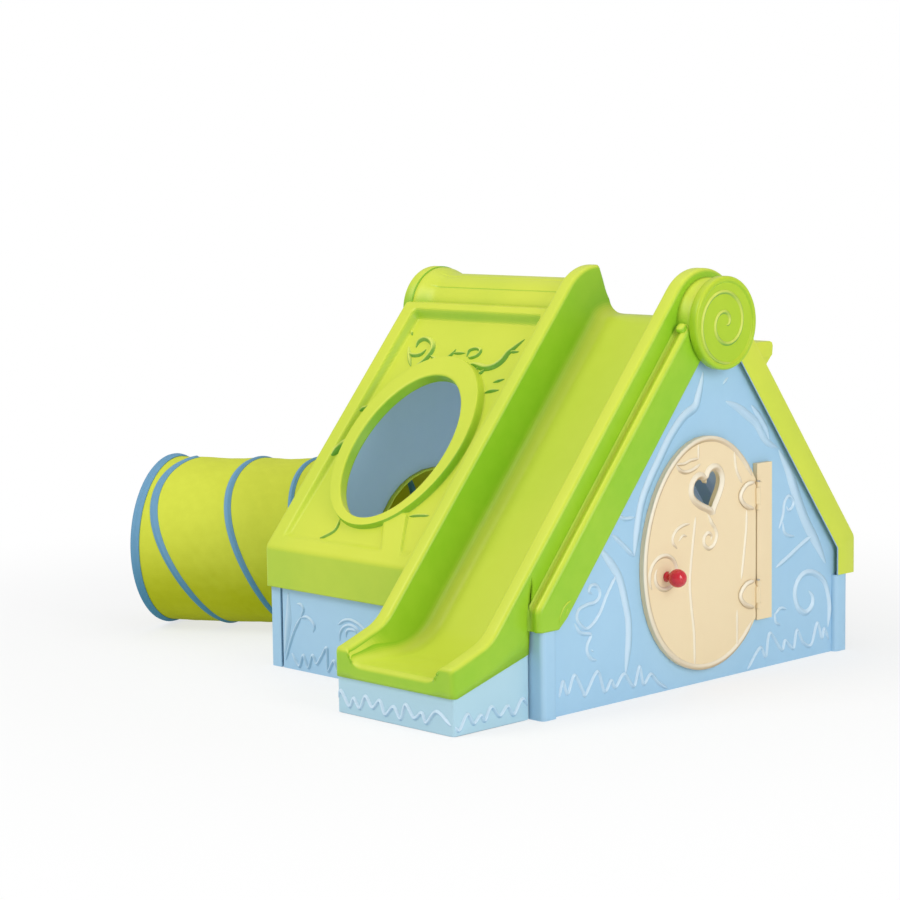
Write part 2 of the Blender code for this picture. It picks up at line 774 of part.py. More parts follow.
def low_tread_points():
    """Points of the climbing face over the low tread, one for each point of the rails' shoulder."""
    face_y = REAR.eave.x - CLIMB_DEPTH
    nose = REAR.eave.x + tread_reach(TREAD_COUNT - 1)
    top = LOW_TREAD_TOP
    return [
        (nose, REAR_LIP_Z),
        (nose, top - 2 * TREAD_ROUND),
        (nose, top - TREAD_ROUND),
        (nose - 0.3 * TREAD_ROUND, top - 0.3 * TREAD_ROUND),
        (nose - TREAD_ROUND, top),
        (face_y, top),
        (face_y, REAR.corner(CLIMB_DEPTH).y),
    ]


def tread_rows():
    """Pairs of (rail height, climbing-face point) from the second tread up to the ridge."""
    rows = []
    for index in reversed(range(TREAD_COUNT - 1)):
        top = TREAD_TOP - index * TREAD_PITCH
        nose = rake_height_y(top) + tread_reach(index)
        under = top - 2.2 * TREAD_NOSE
        start = REAR.point(REAR.up_to(under, CLIMB_DEPTH), CLIMB_DEPTH)
        rows += [
            (under, tuple(start)),
            (top - 1.3 * TREAD_NOSE, (nose - TREAD_ROUND, top - TREAD_NOSE)),
            (top - 1.1 * TREAD_NOSE, (nose - 0.2 * TREAD_ROUND, top - 0.8 * TREAD_NOSE)),
            (top - 0.9 * TREAD_NOSE, (nose, top - TREAD_ROUND)),
            (top - 0.7 * TREAD_NOSE, (nose - 0.3 * TREAD_ROUND, top - 0.3 * TREAD_ROUND)),
            (top - 0.5 * TREAD_NOSE, (nose - TREAD_ROUND, top)),
            (top, tuple(REAR.point(REAR.up_to(top, CLIMB_DEPTH), CLIMB_DEPTH))),
        ]
    rows.append((CLIMB_TOP_Z, (SADDLE_END_Y + CLIMB_TOP_GAP, SADDLE_Z - CLIMB_TOP_GAP)))
    return rows


def climbing_panel(paint):
    """The rear panel with side rails and moulded treads."""
    left = SLIDE_LEFT + SEAM
    right = RAKE_PROUD
    turn = PANEL_EDGE_ROUND
    low = low_tread_points()
    rows = tread_rows()
    columns = []

    def rail(x, depth):
        points = REAR.shoulder(depth, len(low) - 2)
        points += [REAR.point(REAR.up_to(height), depth) for height, _ in rows]
        columns.append(at_x(x, points))

    def face(x):
        columns.append(at_x(x, low + [point for _, point in rows]))

    rail(left, SKIRT_DEPTH)
    rail(left, 3 * turn)
    rail(left + turn, turn)
    rail(left + 3 * turn, 0.0)
    rail(left + RAIL_WIDTH / 2, 0.0)
    rail(left + RAIL_WIDTH - turn, turn / 2)
    face(left + RAIL_WIDTH + 2 * turn)
    face((left + right) / 2)
    face(right - RAIL_WIDTH - 2 * turn)
    rail(right - RAIL_WIDTH + turn, turn / 2)
    rail(right - RAIL_WIDTH / 2, 0.0)
    rail(right - 3 * turn, 0.0)
    rail(right - turn, turn)
    rail(right, 3 * turn)
    rail(right, REAR_RAKE_DEPTH)
    panel = sheet(turned(columns), outward=(0.0, REAR.out.x, REAR.out.y), even=False)
    return place(panel, "climbing_panel", paint)


# Slide

def skirt_foot(y):
    """The height of the skirt's lower edge in front of the house."""
    run = FRONT.eave.x - SLIDE_FRONT
    return SKIRT_FRONT_Z + (SKIRT_REAR_Z - SKIRT_FRONT_Z) * (y - SLIDE_FRONT) / run


def slide_stations():
    """Slices along the slide: left rim, right rim, bed, left foot and right foot."""
    rim_low = Vector((SLIDE_FRONT, SLIDE_EXIT_RIM_Z))
    rim_ahead = Vector((math.cos(SLIDE_EXIT_RIM_SLOPE), math.sin(SLIDE_EXIT_RIM_SLOPE)))
    rim_line = FRONT.point(0.0, -SLIDE_RIM_RISE)
    across = rim_line - rim_low
    reach = across.cross(FRONT.up) / rim_ahead.cross(FRONT.up)
    rim_corner = rim_low + rim_ahead * reach
    rim_top = FRONT.point(FRONT.length, -SLIDE_RIM_RISE)
    rim = bend_path([rim_low, rim_corner, rim_top], [SLIDE_RIM_BEND])
    bed_line = FRONT.point(0.0, SLIDE_BED_DEPTH)
    bed_corner_y = bed_line.x + (SLIDE_EXIT_Z - bed_line.y) * FRONT.up.x / FRONT.up.y
    saddle_y = bed_line.x + (SADDLE_Z - bed_line.y) * FRONT.up.x / FRONT.up.y
    bed_points = [(SLIDE_FRONT, SLIDE_EXIT_Z), (bed_corner_y, SLIDE_EXIT_Z)]
    bed_points += [(saddle_y, SADDLE_Z), (SADDLE_END_Y, SADDLE_Z)]
    bed = bend_path(bed_points, [SLIDE_EXIT_RADIUS, SADDLE_BEND])
    low_count = ARC_STEPS + 2
    radius = FRONT_ROOF_REACH + SLIDE_RIM_RISE
    house_front = FRONT.up_to(FRONT.eave.y + 0.006)
    stations = []
    for index in range(low_count):
        stations.append((rim[index], rim[index], bed[index], "exit"))
    last_rim, last_bed = rim[low_count - 1], bed[low_count - 1]
    slope_length = (rim_top - last_rim).dot(FRONT.up)
    bed_length = (bed[low_count] - last_bed).dot(FRONT.up)
    eave_part = (house_front - (last_rim - FRONT.eave).dot(FRONT.up)) / slope_length
    slices = ((eave_part - 0.002, "outside"), (eave_part + 0.002, "eave"))
    slices += ((eave_part + 0.040, "roof"), (0.5, "roof"), (0.9, "roof"))
    for part, where in slices:
        here = last_rim + FRONT.up * slope_length * part
        stations.append((here, here, last_bed + FRONT.up * bed_length * part, where))
    tangent = -FRONT.angle
    for step in range(ARC_STEPS + 1):
        part = step / ARC_STEPS
        left = arc_point(radius, tangent + (math.radians(2) - tangent) * part)
        right = arc_point(radius, tangent + (math.radians(40) - tangent) * part)
        stations.append((left, right, bed[low_count + step], "ridge"))
    end = bed[-1]
    ridge = Vector((RIDGE_Y, RIDGE_Z))
    near_end = end - Vector((SADDLE_HOOK_STEP, 0.0))
    stations.append((ridge + Vector((0.024, 0.088)), ridge + Vector((0.108, 0.061)), near_end, "ridge"))
    hook_z = SADDLE_Z + SADDLE_HOOK
    left, right = Vector((RIDGE_Y + 0.042, hook_z)), Vector((RIDGE_Y + 0.090, hook_z))
    stations.append((left, right, end, "ridge"))
    return stations


def arc_point(radius, turn):
    """A point at an angle from the top of a circle about the ridge axis."""
    return Vector((RIDGE_Y + radius * math.sin(turn), RIDGE_Z + radius * math.cos(turn)))


def crest_height():
    """The height at which the shoulder's crest line would pass over the eave."""
    line = FRONT.point(0.0, SHOULDER_DEPTH)
    return line.y + (FRONT.eave.x - line.x) * math.tan(FRONT.angle)


def foot_point(rim, where):
    """The skirt's foot below a rim point, in front of the house, at its eave, or on its roof."""
    house_front = FRONT.eave.x + 0.006
    if where == "exit":
        return Vector((rim.x, skirt_foot(rim.x)))
    if where == "outside":
        return Vector((house_front, skirt_foot(house_front)))
    under_roof = SLIDE_RIM_RISE + SKIRT_DEPTH
    if where == "eave":
        return Vector((house_front, crest_height() - 2 * WALL))
    if where == "roof":
        return rim - FRONT.out * under_roof
    spoke = rim - Vector((RIDGE_Y, RIDGE_Z))
    foot_radius = min(FRONT_ROOF_REACH - SKIRT_DEPTH + WALL, spoke.length - SKIRT_END)
    return Vector((RIDGE_Y, RIDGE_Z)) + spoke.normalized() * foot_radius


def slide_row(station, x_left=SLIDE_LEFT, x_right=SLIDE_RIGHT):
    """Points across the slide at one station, from the left skirt to the right skirt."""
    rim_left, rim_right, bed, where = station

    def half(rim, x_edge, inward):
        foot = foot_point(rim, where)
        wall = rim - bed
        height = wall.length
        round_part = min(SLIDE_RIM_ROUND / height, 0.3)
        drop = wall * round_part
        fillet = min(SLIDE_BED_FILLET, 0.75 * (height - SLIDE_RIM_ROUND))
        points = [(x_edge, foot), (x_edge, rim - drop)]
        for turn in (math.radians(30), math.radians(60), math.radians(90)):
            x = x_edge + inward * SLIDE_RIM_ROUND * (1 - math.cos(turn))
            points.append((x, rim - drop * (1 - math.sin(turn))))
        inner = x_edge + inward * SLIDE_RIM_WIDTH
        for turn in (math.radians(90), math.radians(60), math.radians(30), 0.0):
            x = inner - inward * SLIDE_RIM_ROUND * (1 - math.cos(turn))
            points.append((x, rim - drop * (1 - math.sin(turn))))
        for step in range(ARC_STEPS):
            turn = math.pi / 2 * step / (ARC_STEPS - 1)
            x = inner + inward * SLIDE_BED_FILLET * (1 - math.cos(turn))
            lift = fillet * (1 - math.sin(turn))
            points.append((x, bed + wall * lift / height))
        return points

    left = half(rim_left, x_left, 1.0)
    right = half(rim_right, x_right, -1.0)
    middle = [((x_left + x_right) / 2, bed)]
    return [Vector((x, pair.x, pair.y)) for x, pair in left + middle + right[::-1]]


def shoulder_rows():
    """Slices of the shoulder over the gable: crest line, and the lower edge of its face."""
    top = FRONT.length - HUB_RADIUS - 0.010
    crest_points = [(FRONT.eave.x, FRONT_LIP_Z), (FRONT.eave.x, crest_height())]
    crest = bend_path(crest_points + [FRONT.point(top, SHOULDER_DEPTH)], [EAVE_RADIUS])
    face_line = FRONT.point(0.0, SHOULDER_FACE)
    corner_y = SHOULDER_FOOT_Y + SHOULDER_CORNER
    corner_z = face_line.y + (corner_y - face_line.x) * math.tan(FRONT.angle)
    face_points = [(SHOULDER_FOOT_Y, FRONT_LIP_Z), (corner_y, corner_z)]
    face = bend_path(face_points + [FRONT.point(top, SHOULDER_FACE)], [EAVE_RADIUS])
    columns = []
    inner_x = SLIDE_RIGHT - WALL + 0.001
    for x in (inner_x, RAKE_PROUD - SHOULDER_ROUND):
        columns.append(at_x(x, crest))
    for turn in (30, 60, 90):
        x = RAKE_PROUD - SHOULDER_ROUND * (1 - math.sin(math.radians(turn)))
        drop = SHOULDER_ROUND * (1 - math.cos(math.radians(turn)))
        share = drop / (SHOULDER_FACE - SHOULDER_DEPTH)
        columns.append(at_x(x, [a + (b - a) * share for a, b in zip(crest, face)]))
    columns.append(at_x(RAKE_PROUD, face))
    return turned(columns)


def slide_front(row):
    """The slide's front face, under the curved edge of its exit."""
    sunk = 0.0025
    inset = 0.0010
    top = [(point.x, point.z - sunk) for point in row[2:-2]]
    top = [(min(max(x, SLIDE_LEFT + inset), SLIDE_RIGHT - inset), z) for x, z in top]
    low = SKIRT_FRONT_Z - inset
    outline = [(SLIDE_LEFT + inset, low)] + top + [(SLIDE_RIGHT - inset, low)]
    return prism("y", outline, SLIDE_FRONT - 0.0015, SLIDE_FRONT + WALL - 0.0015)


def slide_panel(paint):
    """The slide: bed, side walls, skirts, front face and the shoulder over the gable."""
    rows = [slide_row(station) for station in slide_stations()]
    panel = sheet(rows, outward=(0.0, FRONT.out.x, FRONT.out.y))
    panel = join(panel, slide_front(rows[0]))
    panel = join(panel, sheet(shoulder_rows(), outward=(1.0, 0.0, 0.0)))
    return place(panel, "slide_panel", paint)


def slide_base(paint):
    """The box under the slide's foot: three sides and a low back."""
    left = SLIDE_LEFT + WALL + RUNNING_GAP
    right = SLIDE_RIGHT - WALL - RUNNING_GAP
    front = SLIDE_FRONT + WALL + RUNNING_GAP
    back = -HOUSE_HALF_WIDTH - BASE_GAP
    outer = [(left, back), (left, front), (right, front), (right, back)]
    inner = [(right - WALL, back), (right - WALL, front + WALL)]
    inner += [(left + WALL, front + WALL), (left + WALL, back)]
    body = prism("z", outer + inner, 0.0, FRONT_EAVE_Z)
    rear = box((left + WALL / 2, right - WALL / 2), (back - WALL, back), (0.0, BASE_BACK_Z))
    near, far = SLIDE_FRONT - WALL, back + TRAY_DEPTH
    top = 2 * FRONT_EAVE_Z
    cutter = [(near, skirt_foot(near) + BASE_TUCK), (far, skirt_foot(far) + BASE_TUCK)]
    cutter += [(far, top), (near, top)]
    body = cut(body, prism("x", cutter, left - WALL, right + WALL))
    return place(join(body, rear), "slide_base", paint)


# Ridge

def ridge_roll(paint):
    """The half-round cap along the ridge, beside the slide."""
    columns = []
    for x in (ROOF_END_X + WALL + RUNNING_GAP, ROOF_SPLIT_X - 3 * RUNNING_GAP):
        columns.append(at_x(x, arc_about_ridge(ROLL_RADIUS, math.radians(-93), math.radians(93), 20)))
    return place(sheet(turned(columns)), "ridge_cap", paint)


def ridge_disc(name, back_x, hub_x, sign, paint):
    """A round end disc with a raised rim, a dished face and a hub that reaches the gable."""
    front = back_x + sign * DISC_THICK
    dish = front - sign * DISC_DISH
    edge = DISC_EDGE
    profile = [
        (dish, 0.0),
        (dish, DISC_RADIUS - DISC_RIM - edge),
        (front, DISC_RADIUS - DISC_RIM),
        (front, DISC_RADIUS - edge),
        (front - sign * edge * 0.3, DISC_RADIUS - edge * 0.3),
        (front - sign * edge, DISC_RADIUS),
        (back_x, DISC_RADIUS),
        (back_x, DISC_RADIUS - WALL),
        (dish - sign * WALL, DISC_RADIUS - WALL),
        (dish - sign * WALL, HUB_RADIUS),
        (hub_x, HUB_RADIUS),
        (hub_x, SCREW_RADIUS + SCREW_GAP / 3),
        (dish - sign * WALL, SCREW_RADIUS + SCREW_GAP / 3),
        (dish - sign * WALL, 0.0),
    ]
    return place(revolve(profile, (RIDGE_Y, RIDGE_Z)), name, paint)


def disc_screw(name, wall_x, back_x, sign, paint):
    """The screw through a gable into a disc's hub; it ends short of the hub's blind end."""
    tip = back_x + sign * (DISC_THICK - DISC_DISH - 2 * WALL)
    return screw(name, (RIDGE_Y, RIDGE_Z), wall_x - sign * (WALL + SCREW_GAP), tip, paint)


def ridge_beam(paint):
    """The steel tube that carries the saddle between the gables."""
    low = TUNNEL_FACE_X + WALL + RUNNING_GAP
    high = PANEL_FACE_X - WALL - RUNNING_GAP
    ring = circle(BEAM_Y, BEAM_Z, BEAM_RADIUS)
    bore = circle(BEAM_Y, BEAM_Z, BEAM_RADIUS - BEAM_WALL)
    return place(prism("x", ring, low, high, [bore]), "ridge_beam", paint)


def screw(name, centre, head_x, tip_x, paint):
    """A pan-head screw along X, with its head at head_x."""
    sign = math.copysign(1.0, tip_x - head_x)
    profile = [
        (head_x - sign * 0.0024, 0.0),
        (head_x - sign * 0.0022, SCREW_HEAD * 0.6),
        (head_x - sign * 0.0012, SCREW_HEAD * 0.95),
        (head_x, SCREW_HEAD),
        (head_x, SCREW_RADIUS),
        (tip_x - sign * 0.002, SCREW_RADIUS),
        (tip_x, SCREW_RADIUS * 0.4),
        (tip_x, 0.0),
    ]
    return place(revolve(profile, centre, 8), name, paint, (head_x, *centre))


# Door

def knuckle(height, half, radius=KNUCKLE_RADIUS):
    """A hinge barrel about the door's axis."""
    return rod("z", (HINGE_X, HINGE_Y), radius, height - half, height + half, 16)


def pin_bore(height):
    """The cutter for the bore that a hinge pin turns in."""
    half = KNUCKLE_HALF + SIDE_KNUCKLE + 0.01
    return rod("z", (HINGE_X, HINGE_Y), PIN_RADIUS + PIN_GAP, height - half, height + half, 16)


def strap(height):
    """A leaf-shaped strap that carries one of the door's hinge barrels."""
    right = HINGE_Y - HINGE_SLIT - STRAP_INSET
    neck = KNUCKLE_HALF - RUNNING_GAP
    neck_y = HINGE_Y - KNUCKLE_RADIUS - RUNNING_GAP
    outline = [
        (STRAP_TIP_Y, height + 0.006),
        (STRAP_TIP_Y + 0.018, height - 0.020),
        (neck_y - 0.006, height - STRAP_HALF * 0.95),
        (neck_y, height - neck),
        (right, height - neck),
        (right, height + neck),
        (neck_y, height + neck),
        (neck_y - 0.006, height + STRAP_HALF),
        (STRAP_TIP_Y + 0.022, height + 0.026),
    ]
    return prism("x", outline, -DOOR_SKIN / 2, STRAP_RISE)


def barrel_block(height, half, toward):
    """The web between a hinge barrel and the sheet that carries it."""
    y_range = sorted((HINGE_Y, HINGE_Y + toward * (HINGE_SLIT + 0.008)))
    x_range = (-DOOR_SKIN * 0.35, HINGE_X + KNUCKLE_RADIUS * 0.6)
    return box(x_range, y_range, (height - half * 0.97, height + half * 0.97))


def door_leaf(paint):
    """The egg-shaped door with its heart window and two straps."""
    edge = HINGE_Y - HINGE_SLIT
    back = PANEL_FACE_X + SEAM
    body = prism("x", egg(0.0, edge), back, 0.0)
    leaf = cut(body, prism("x", egg(-WALL, edge - WALL), back * 2, -DOOR_SKIN))
    leaf = join(leaf, prism("x", heart(WALL), back, -DOOR_SKIN * 0.4))
    leaf = cut(leaf, prism("x", heart(), back * 2, -back))
    leaf = cut(leaf, rod("x", (KNOB_Y, KNOB_Z), SCREW_RADIUS + SCREW_GAP, back, WALL, 12))
    for height in HINGE_HEIGHTS:
        leaf = join(leaf, strap(height))
        leaf = join(leaf, barrel_block(height, KNUCKLE_HALF, -1))
        leaf = join(leaf, knuckle(height, KNUCKLE_HALF))
        leaf = cut(leaf, pin_bore(height))
    return place(leaf, "door_leaf", paint, (HINGE_X, HINGE_Y, 0.0))


def hinge_plate(paint):
    """The fixed plate beside the door that carries the outer hinge barrels."""
    edge = HINGE_Y + HINGE_SLIT
    back = PANEL_FACE_X + SEAM
    outline = [(edge, HINGE_PLATE_LOW), (HINGE_PLATE_END_Y, HINGE_PLATE_LOW)]
    outline += [(HINGE_PLATE_END_Y, HINGE_PLATE_HIGH), (edge, HINGE_PLATE_HIGH)]
    low, high = HINGE_PLATE_LOW + WALL, HINGE_PLATE_HIGH - WALL
    inner_end = HINGE_PLATE_END_Y - WALL
    inner = [(edge + WALL, low), (inner_end, low), (inner_end, high), (edge + WALL, high)]
    plate = prism("x", outline, back, 0.0)
    plate = cut(plate, prism("x", inner, back * 2, -DOOR_SKIN))
    for centre in HINGE_SCREWS:
        plate = join(plate, rod("x", centre, 0.006, back, -DOOR_SKIN / 2, 16))
        bore = rod("x", centre, SCREW_RADIUS + SCREW_GAP / 3, back * 2, -DOOR_SKIN / 2, 12)
        plate = cut(plate, bore)
    for height in HINGE_HEIGHTS:
        for side in (-1, 1):
            middle = height + side * (KNUCKLE_HALF + RUNNING_GAP + SIDE_KNUCKLE / 2)
            plate = join(plate, barrel_block(middle, SIDE_KNUCKLE / 2, 1))
            plate = join(plate, knuckle(middle, SIDE_KNUCKLE / 2))
        plate = cut(plate, pin_bore(height))
    return place(plate, "door_hinge_plate", paint)


def hinge_pin(name, height, paint):
    """A headed pin through one set of hinge barrels."""
    half = KNUCKLE_HALF + RUNNING_GAP + SIDE_KNUCKLE
    axis = (HINGE_X, HINGE_Y)
    top = height + half
    pin = rod("z", axis, PIN_RADIUS, height - half - 0.001, top + 0.0015, 16)
    head = rod("z", axis, PIN_RADIUS + 0.0018, top + 0.0005, top + 0.003, 16)
    return place(join(pin, head), name, paint, (HINGE_X, HINGE_Y, height))


def knob_outer(paint):
    """The round knob on the door's front."""
    centre_x = KNOB_REACH
    profile = [(RUNNING_GAP, 0.0), (RUNNING_GAP, KNOB_NECK * 1.25), (0.004, KNOB_NECK)]
    start = math.asin(KNOB_NECK / KNOB_RADIUS)
    for step in range(1, 10):
        turn = start + (math.pi - start) * step / 9
        x = centre_x - KNOB_RADIUS * math.cos(turn)
        profile.append((x, KNOB_RADIUS * math.sin(turn) if step < 9 else 0.0))
    profile.insert(3, (centre_x - KNOB_RADIUS * math.cos(start), KNOB_NECK))
    body = revolve(profile, (KNOB_Y, KNOB_Z), 24)
    bore = rod("x", (KNOB_Y, KNOB_Z), SCREW_RADIUS + SCREW_GAP / 3, -0.01, centre_x - 0.004, 12)
    body = cut(body, bore)
    return place(body, "door_knob_outer", paint, (0.0, KNOB_Y, KNOB_Z))


def knob_inner(paint):
    """The smaller knob on the door's inner face."""
    front = -DOOR_SKIN - RUNNING_GAP
    profile = [(front, 0.0), (front, 0.015), (front - 0.008, 0.013), (front - 0.016, 0.018)]
    profile += [(front - 0.026, 0.018), (front - 0.031, 0.012), (front - 0.031, 0.0)]
    body = revolve(profile, (KNOB_Y, KNOB_Z), 16)
    bore = rod("x", (KNOB_Y, KNOB_Z), SCREW_RADIUS + SCREW_GAP, front - 0.05, 0.0, 12)
    return place(cut(body, bore), "door_knob_inner", paint, (front, KNOB_Y, KNOB_Z))


# Tunnel

def tunnel_centre(part):
    """A point of the tunnel's centre line, and its direction, for a part from 0 to 1."""
    points = [Vector(point) for point in (TUNNEL_START, TUNNEL_BEND_1, TUNNEL_BEND_2, TUNNEL_END)]
    rest = 1.0 - part
    here = points[0] * rest ** 3 + points[1] * 3 * rest ** 2 * part
    here += points[2] * 3 * rest * part ** 2 + points[3] * part ** 3
    ahead = (points[1] - points[0]) * 3 * rest ** 2 + (points[2] - points[1]) * 6 * rest * part
    ahead += (points[3] - points[2]) * 3 * part ** 2
    return here, ahead.normalized()


def tunnel_length(steps=200):
    """The length of the tunnel's centre line."""
    points = [tunnel_centre(step / steps)[0] for step in range(steps + 1)]
    return sum((after - before).length for before, after in zip(points, points[1:]))


def tunnel_point(part, turn, radius):
    """A point on the tunnel's wall; turn 0 is its top and grows toward the slide's side."""
    here, ahead = tunnel_centre(part)
    side = Vector((-ahead.y, ahead.x))
    across = radius * math.sin(turn)
    foot = here + side * across
    return Vector((foot.x, foot.y, TUNNEL_Z + radius * math.cos(turn)))


def cloth_radius(part):
    """The cloth's outer radius: gathered on the spigot at the house, and full further out."""
    full = TUNNEL_RADIUS * math.cos(math.pi / WIRE_STEPS) - WIRE_RADIUS - 2 * RUNNING_GAP
    gathered = COLLAR_HOLE + COLLAR_FLANGE + RUNNING_GAP + CLOTH
    share = min(max((part - GATHER_END / 2) / (GATHER_END / 2), 0.0), 1.0)
    return gathered + (full - gathered) * share * share * (3 - 2 * share)


def tunnel_fabric(paint):
    """The cloth tube, with a straight sleeve over the collar."""
    parts = spread(0.0, GATHER_END, 4) + spread(GATHER_END, 1.0, 11)[1:]
    rows = []
    for step in range(ROUND_STEPS):
        turn = math.tau * step / ROUND_STEPS
        row = [tunnel_point(part, turn, cloth_radius(part)) for part in parts]
        rows.append([row[0] + Vector((SLEEVE, 0.0, 0.0))] + row)
    mesh = sheet(rows, CLOTH, None, True)
    return place(mesh, "tunnel_fabric", paint)


def wire_path():
    """The spring wire's path: one turn each pitch, leaning so that the tops trail."""
    length = tunnel_length()
    usable = length * (1.0 - GATHER_END) - WIRE_START - 2 * WIRE_LEAN
    turns = usable / WIRE_PITCH
    count = int(turns * WIRE_STEPS)
    points = []
    for step in range(count + 1):
        turn = math.tau * step / WIRE_STEPS
        back = WIRE_START + WIRE_PITCH * turn / math.tau + WIRE_LEAN * (1 - math.cos(turn))
        part = 1.0 - back / length
        points.append(tunnel_point(part, turn, TUNNEL_RADIUS))
    return points


def tunnel_wire(paint):
    """The steel spring that holds the cloth open."""
    path = wire_path()
    ahead = path[WIRE_STEPS:]
    gap = min((far - near).length for near, far in zip(path, ahead)) - 2 * WIRE_RADIUS
    print("smallest gap between turns of the tunnel's spring, mm:", round(gap * 1000, 2))
    return place(tube(path, WIRE_RADIUS, 6), "tunnel_spring_wire", paint)


def tunnel_hem(paint):
    """The stiff ring in the hem at the tunnel's open end."""
    here, ahead = tunnel_centre(1.0)
    side = Vector((-ahead.y, ahead.x, 0.0))
    along_axis = Vector((ahead.x, ahead.y, 0.0))
    centre = Vector((here.x, here.y, TUNNEL_Z)) - along_axis * HEM_RADIUS
    steps = 36
    middle_radius = (cloth_radius(1.0) + RUNNING_GAP) / math.cos(math.pi / steps) + HEM_RADIUS
    shape = bmesh.new()
    rings = []
    for step in range(steps):
        turn = math.tau * step / steps
        spoke = side * math.sin(turn) + Vector((0.0, 0.0, math.cos(turn)))
        ring = []
        for corner in range(6):
            roll = math.tau * corner / 6
            reach = spoke * (middle_radius + HEM_RADIUS * math.cos(roll))
            ring.append(shape.verts.new(centre + reach + along_axis * HEM_RADIUS * math.sin(roll)))
        rings.append(ring)
    for step in range(steps):
        near, far = rings[step], rings[(step + 1) % steps]
        for corner in range(6):
            after = (corner + 1) % 6
            shape.faces.new((near[corner], near[after], far[after], far[corner]))
    return place(finish(shape, "hem"), "tunnel_end_ring", paint, centre)


def tunnel_collar(paint):
    """The ring that joins the cloth to the gable: a flange on its face, and a spigot through it."""
    centre = (TUNNEL_START[1], TUNNEL_Z)
    flange_back = TUNNEL_FACE_X - RUNNING_GAP
    outer = flange_back - WALL - SPIGOT_LENGTH
    inner = TUNNEL_FACE_X + TRAY_DEPTH / 2
    around = circle(*centre, COLLAR_HOLE + COLLAR_FLANGE)
    wall = prism("x", around, outer, inner, [circle(*centre, COLLAR_HOLE)])
    ring = circle(*centre, COLLAR_HOLE + COLLAR_FLANGE / 2)
    rim = circle(*centre, COLLAR_HOLE + COLLAR_LIP)
    flange = prism("x", rim, flange_back - WALL, flange_back, [ring])
    return place(join(wall, flange), "tunnel_collar", paint)


def parent_to_base(items):
    """Hang every piece on one empty, so that the part stands centred on its own origin."""
    bpy.context.view_layer.update()
    low = Vector((math.inf, math.inf, math.inf))
    high = -low
    for item in items:
        for vertex in item.data.vertices:
            spot = item.location + vertex.co
            low = Vector(map(min, low, spot))
            high = Vector(map(max, high, spot))
    base = bpy.data.objects.new("playhouse_origin", None)
    bpy.context.scene.collection.objects.link(base)
    base.location = (-(low.x + high.x) / 2, -(low.y + high.y) / 2, -low.z)
    for item in items:
        item.parent = base
    print("house frame shift, mm:", [round(value * 1000, 3) for value in base.location])
    print("overall size, mm:", [round(value * 1000, 1) for value in high - low])


def main():
    clear_scene()
    sky = material("light_blue_plastic", (0.40, 0.64, 0.83), 0.42)
    lime = material("lime_plastic", (0.54, 0.75, 0.07), 0.38)
    leaf = material("green_plastic", (0.40, 0.62, 0.05), 0.38)
    cream = material("cream_plastic", (0.93, 0.79, 0.56), 0.45)
    red = material("red_plastic", (0.62, 0.01, 0.03), 0.25)
    cloth = material("green_cloth", (0.50, 0.57, 0.05), 0.85)
    binding = material("blue_binding", (0.16, 0.35, 0.49), 0.7)
    steel = material("steel", (0.62, 0.63, 0.65), 0.35, 1.0)

    wall_left = -HOUSE_LENGTH + TRAY_DEPTH + PANEL_RECESS + SEAM
    wall_right = -TRAY_DEPTH - PANEL_RECESS - SEAM
    front_top, rear_top = FRONT_LIP_Z - SEAM, REAR_LIP_Z - SEAM
    items = [
        door_gable(sky),
        tunnel_gable(sky),
        low_wall("front_low_wall", (wall_left, ROOF_SPLIT_X), -1, front_top, sky),
        low_wall("rear_low_wall", (wall_left, wall_right), 1, rear_top, sky),
        window_roof(lime),
        rear_roof(lime),
        climbing_panel(lime),
        slide_panel(leaf),
        slide_base(sky),
        ridge_roll(lime),
        ridge_disc("ridge_disc_door_end", DOOR_DISC_BACK, PANEL_FACE_X + RUNNING_GAP, 1, leaf),
        ridge_disc("ridge_disc_tunnel_end", TUNNEL_DISC_BACK, TUNNEL_FACE_X - RUNNING_GAP, -1, lime),
        ridge_beam(steel),
        disc_screw("disc_screw_door_end", PANEL_FACE_X, DOOR_DISC_BACK, 1, steel),
        disc_screw("disc_screw_tunnel_end", TUNNEL_FACE_X, TUNNEL_DISC_BACK, -1, steel),
        door_leaf(cream),
        hinge_plate(cream),
        knob_outer(red),
        knob_inner(red),
        screw("knob_screw", (KNOB_Y, KNOB_Z), -DOOR_SKIN - RUNNING_GAP - 0.0313, KNOB_REACH - 0.006, steel),
        tunnel_fabric(cloth),
        tunnel_wire(steel),
        tunnel_hem(binding),
        tunnel_collar(lime),
    ]
    for label, height in zip(("lower", "upper"), HINGE_HEIGHTS):
        items.append(hinge_pin("hinge_pin_" + label, height, steel))
    for number, centre in enumerate(HINGE_SCREWS, start=1):
        name = "hinge_screw_" + str(number)
        items.append(screw(name, centre, PANEL_FACE_X - WALL - 0.0003, -DOOR_SKIN / 2 - 0.002, steel))
    parent_to_base(items)


main()
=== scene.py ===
"""Looks of a moulded playhouse with a slide, a round window, a swing door and a crawl tunnel.

House coordinates: +X toward the door gable, -Y toward the slide's foot, +Z up, metres.
"""

import json
import math

import bmesh
import bpy
import numpy as np
from bpy.props import FloatProperty, FloatVectorProperty, IntProperty, PointerProperty
from mathutils import Matrix, Vector

